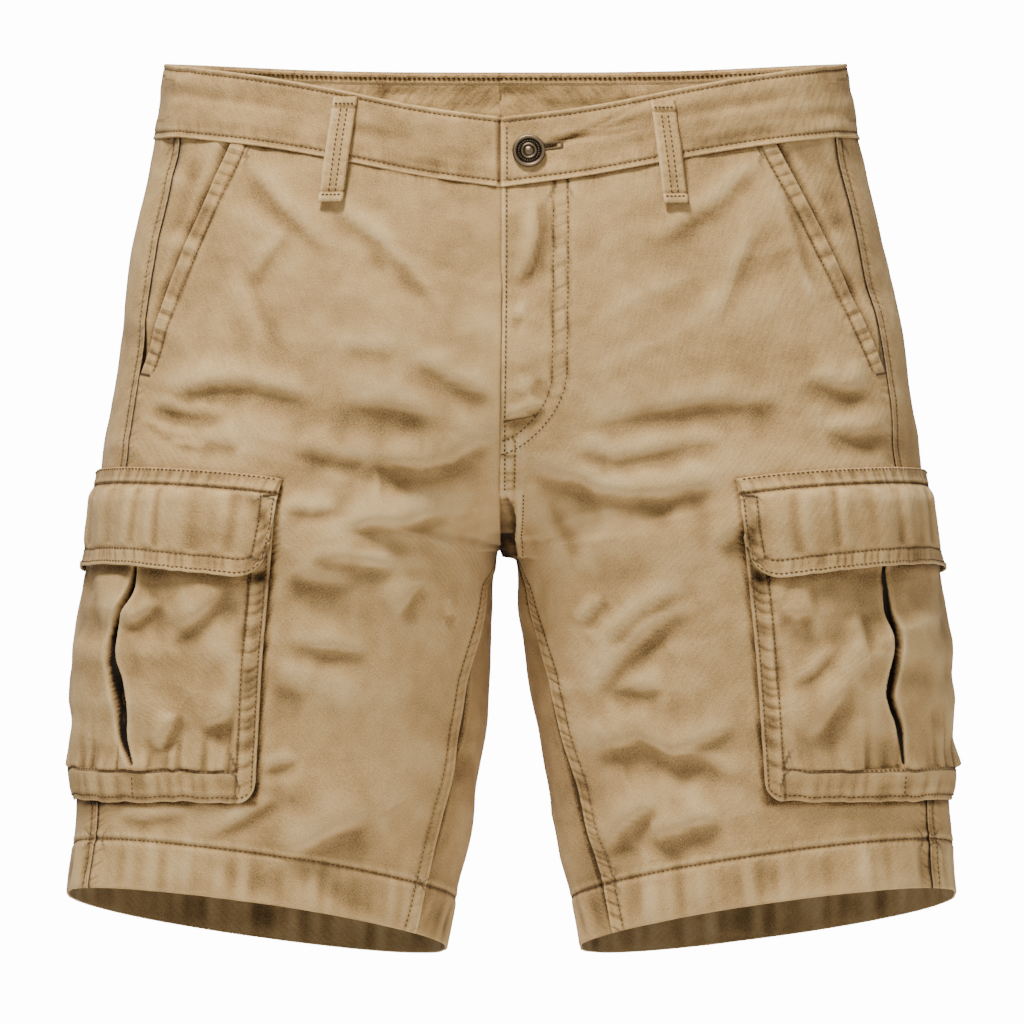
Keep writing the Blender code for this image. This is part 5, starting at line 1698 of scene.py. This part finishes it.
class CargoShortsSettings(bpy.types.PropertyGroup):
    cloth: FloatVectorProperty(
        name="Cloth", description="Colour of the washed cloth",
        subtype="COLOR", size=3, min=0.0, max=1.0, default=(0.46, 0.285, 0.112),
    )
    # Also the colour of painted light on lit edges and the crests of folds.
    worn: FloatVectorProperty(
        name="Worn ridges", description="Colour where washing has faded the cloth",
        subtype="COLOR", size=3, min=0.0, max=1.0, default=(0.70, 0.51, 0.26),
    )
    # Also the colour of painted shade in creases, recesses and shadows.
    deep: FloatVectorProperty(
        name="Deep seams", description="Colour in the seams and the depths of creases",
        subtype="COLOR", size=3, min=0.0, max=1.0, default=(0.085, 0.042, 0.011),
    )
    thread: FloatVectorProperty(
        name="Thread", description="Colour of the sewing thread",
        subtype="COLOR", size=3, min=0.0, max=1.0, default=(0.105, 0.06, 0.023),
    )
    stitch_pitch: FloatProperty(
        name="Stitch pitch", description="Distance from one stitch to the next", default=0.003,
        min=0.0015, max=0.006, unit="LENGTH", precision=4,
    )
    stitch_length: FloatProperty(
        name="Stitch length", description="Length of thread that shows in each stitch", default=0.0019,
        min=0.001, max=0.005, unit="LENGTH", precision=4,
    )
    thread_width: FloatProperty(
        name="Thread width", description="Thickness of the sewing thread", default=0.0011,
        min=0.0003, max=0.002, unit="LENGTH", precision=5,
    )
    twill_pitch: FloatProperty(
        name="Twill pitch", description="Distance between the twill's diagonal ribs", default=0.004,
        min=0.001, max=0.012, unit="LENGTH", precision=5,
    )
    crumple: FloatProperty(
        name="Crumple", description="How strongly washing has crumpled the cloth",
        default=1.0, min=0.0, max=2.0,
    )


class DressPanels(bpy.types.Operator):
    """Make the four panels and the facings of the slant pockets"""

    bl_idname = "cargo_shorts.panels"
    bl_label = "Panels and facings"

    def execute(self, context):
        for word in ("left", "right"):
            cloth_of(f"front_{word}", PANEL_WALL)
            cloth_of(f"back_{word}", PANEL_WALL)
            cloth_of(f"pocket_facing_{word}", PANEL_WALL)
        return {"FINISHED"}


class DressWaistband(bpy.types.Operator):
    """Make both halves of the waistband and the belt loops"""

    bl_idname = "cargo_shorts.waistband"
    bl_label = "Waistband and belt loops"

    def execute(self, context):
        for word in ("left", "right"):
            cloth_of(f"waistband_{word}", BAND_WALL)
        for loop in LOOPS:
            cloth_of(loop[0], LOOP_WALL)
        return {"FINISHED"}


class DressCargoPockets(bpy.types.Operator):
    """Make the cargo pockets and their flaps"""

    bl_idname = "cargo_shorts.cargo_pockets"
    bl_label = "Cargo pockets and flaps"

    def execute(self, context):
        for word in ("left", "right"):
            cloth_of(f"cargo_pocket_{word}", POCKET_WALL)
            cloth_of(f"cargo_flap_{word}", FLAP_WALL)
        return {"FINISHED"}


class DressFly(bpy.types.Operator):
    """Make the waist button, the zip and the shield behind it"""

    bl_idname = "cargo_shorts.fly"
    bl_label = "Button and fly"

    def execute(self, context):
        body = surfaces()["body"]
        cloth_of("fly_shield", SHIELD_WALL)
        strip = surfaces()["fly_zip"]
        tape = cloth_piece("fly_zip_tape", strip, ZIP_WALL, tape_material())
        flat, area = cut_of(strip)
        area = min(area, flat[0] * flat[1])
        dress(tape, "fly_zip")
        brass = metal_material("zip brass", *ZIP_BRASS)
        dress(zip_teeth("zip_teeth", strip, brass), None)
        side, row, along = body.place_at(BUTTON_X, BUTTON_HEIGHT, -1)
        foot = body.at_sides(side, row, along, BAND_PROUD + BUTTON_STANDS)
        above = body.at_sides(side, row, along, BAND_PROUD + BUTTON_STANDS + 1.0)
        antique = metal_material("antique brass", *ANTIQUE_BRASS)
        button = turned_button("waist_button_metal", foot, above - foot, antique)
        dress(button, "waist_button")
        return {"FINISHED"}


class SewShorts(bpy.types.Operator):
    """Sew every row of stitches and bartack"""

    bl_idname = "cargo_shorts.sewing"
    bl_label = "Sewing"

    def execute(self, context):
        pitch = look().stitch_pitch * 1000
        made = surfaces()
        kinds = {
            "front": panel_rows, "back": panel_rows, "waistband": band_rows,
            "cargo_pocket": pocket_rows, "cargo_flap": flap_rows,
        }
        for word in ("left", "right"):
            for kind, rows in kinds.items():
                node = f"{kind}_{word}"
                sewing(f"{node}_stitches", rows(made[node], pitch), thread())
        loops = [line for loop in LOOPS for line in loop_rows(made[loop[0]], pitch)]
        sewing("belt_loop_stitches", loops, thread())
        return {"FINISHED"}


class SetStage(bpy.types.Operator):
    """Set the floor, the soft lights and the camera"""

    bl_idname = "cargo_shorts.stage"
    bl_label = "Floor, lights and camera"

    def execute(self, context):
        scene = context.scene
        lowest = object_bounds()[0][2]
        bm = bmesh.new()
        bmesh.ops.create_grid(bm, x_segments=1, y_segments=1, size=FLOOR_SIZE / 2)
        bmesh.ops.translate(bm, verts=bm.verts, vec=(0.0, 0.0, lowest - FLOOR_BELOW))
        mesh = bpy.data.meshes.new("floor")
        bm.to_mesh(mesh)
        bm.free()
        add_object("floor", mesh, floor_material())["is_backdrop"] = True
        for name, place, size, power in STUDIO_LIGHTS:
            lamp = bpy.data.lights.new(name, "AREA")
            lamp.shape, lamp.size = "DISK", size
            lamp.energy = power
            light = bpy.data.objects.new(name, lamp)
            scene.collection.objects.link(light)
            light.location = place
            light.rotation_euler = (Vector(LIT_POINT) - Vector(place)).to_track_quat("-Z", "Y").to_euler()
        world = bpy.data.worlds.new("studio")
        world.use_nodes = True
        nodes, links = world.node_tree.nodes, world.node_tree.links
        nodes["Background"].inputs["Color"].default_value = (1.0, 1.0, 1.0, 1.0)
        bright = nodes.new("ShaderNodeMath")
        bright.operation = "MULTIPLY_ADD"
        bright.inputs[1].default_value, bright.inputs[2].default_value = BACKGROUND - ROOM_LIGHT, ROOM_LIGHT
        links.new(nodes.new("ShaderNodeLightPath").outputs["Is Camera Ray"], bright.inputs[0])
        links.new(bright.outputs[0], nodes["Background"].inputs["Strength"])
        scene.world = world
        camera = bpy.data.objects.new("camera", bpy.data.cameras.new("camera"))
        scene.collection.objects.link(camera)
        camera.location = (VIEW_MIDDLE[0], -VIEW_DISTANCE, VIEW_MIDDLE[1])
        camera.rotation_euler = (math.pi / 2, 0, 0)
        camera.data.lens = camera.data.sensor_width * VIEW_DISTANCE / VIEW_WIDTH
        camera.data.clip_end = 60.0
        scene.camera = camera
        return {"FINISHED"}


OPERATORS = (DressPanels, DressWaistband, DressCargoPockets, DressFly, SewShorts, SetStage)


class CargoShortsSidebar(bpy.types.Panel):
    """Lists the settings and the pieces of the shorts"""

    bl_idname = "VIEW3D_PT_cargo_shorts"
    bl_label = "Cargo shorts"
    bl_space_type = "VIEW_3D"
    bl_region_type = "UI"
    bl_category = "Shorts"

    def draw(self, context):
        settings = context.scene.cargo_shorts
        for name in CargoShortsSettings.__annotations__:
            self.layout.prop(settings, name)
        for operator in OPERATORS:
            self.layout.operator(operator.bl_idname)


CLASSES = (CargoShortsSettings, *OPERATORS, CargoShortsSidebar)


def register():
    for one in CLASSES:
        bpy.utils.register_class(one)
    bpy.types.Scene.cargo_shorts = PointerProperty(type=CargoShortsSettings)


def unregister():
    del bpy.types.Scene.cargo_shorts
    for one in reversed(CLASSES):
        bpy.utils.unregister_class(one)


def main():
    register()
    bpy.ops.cargo_shorts.panels()
    bpy.ops.cargo_shorts.waistband()
    bpy.ops.cargo_shorts.cargo_pockets()
    bpy.ops.cargo_shorts.fly()
    bpy.ops.cargo_shorts.sewing()
    bpy.ops.cargo_shorts.stage()


if __name__ == "__main__":
    main()
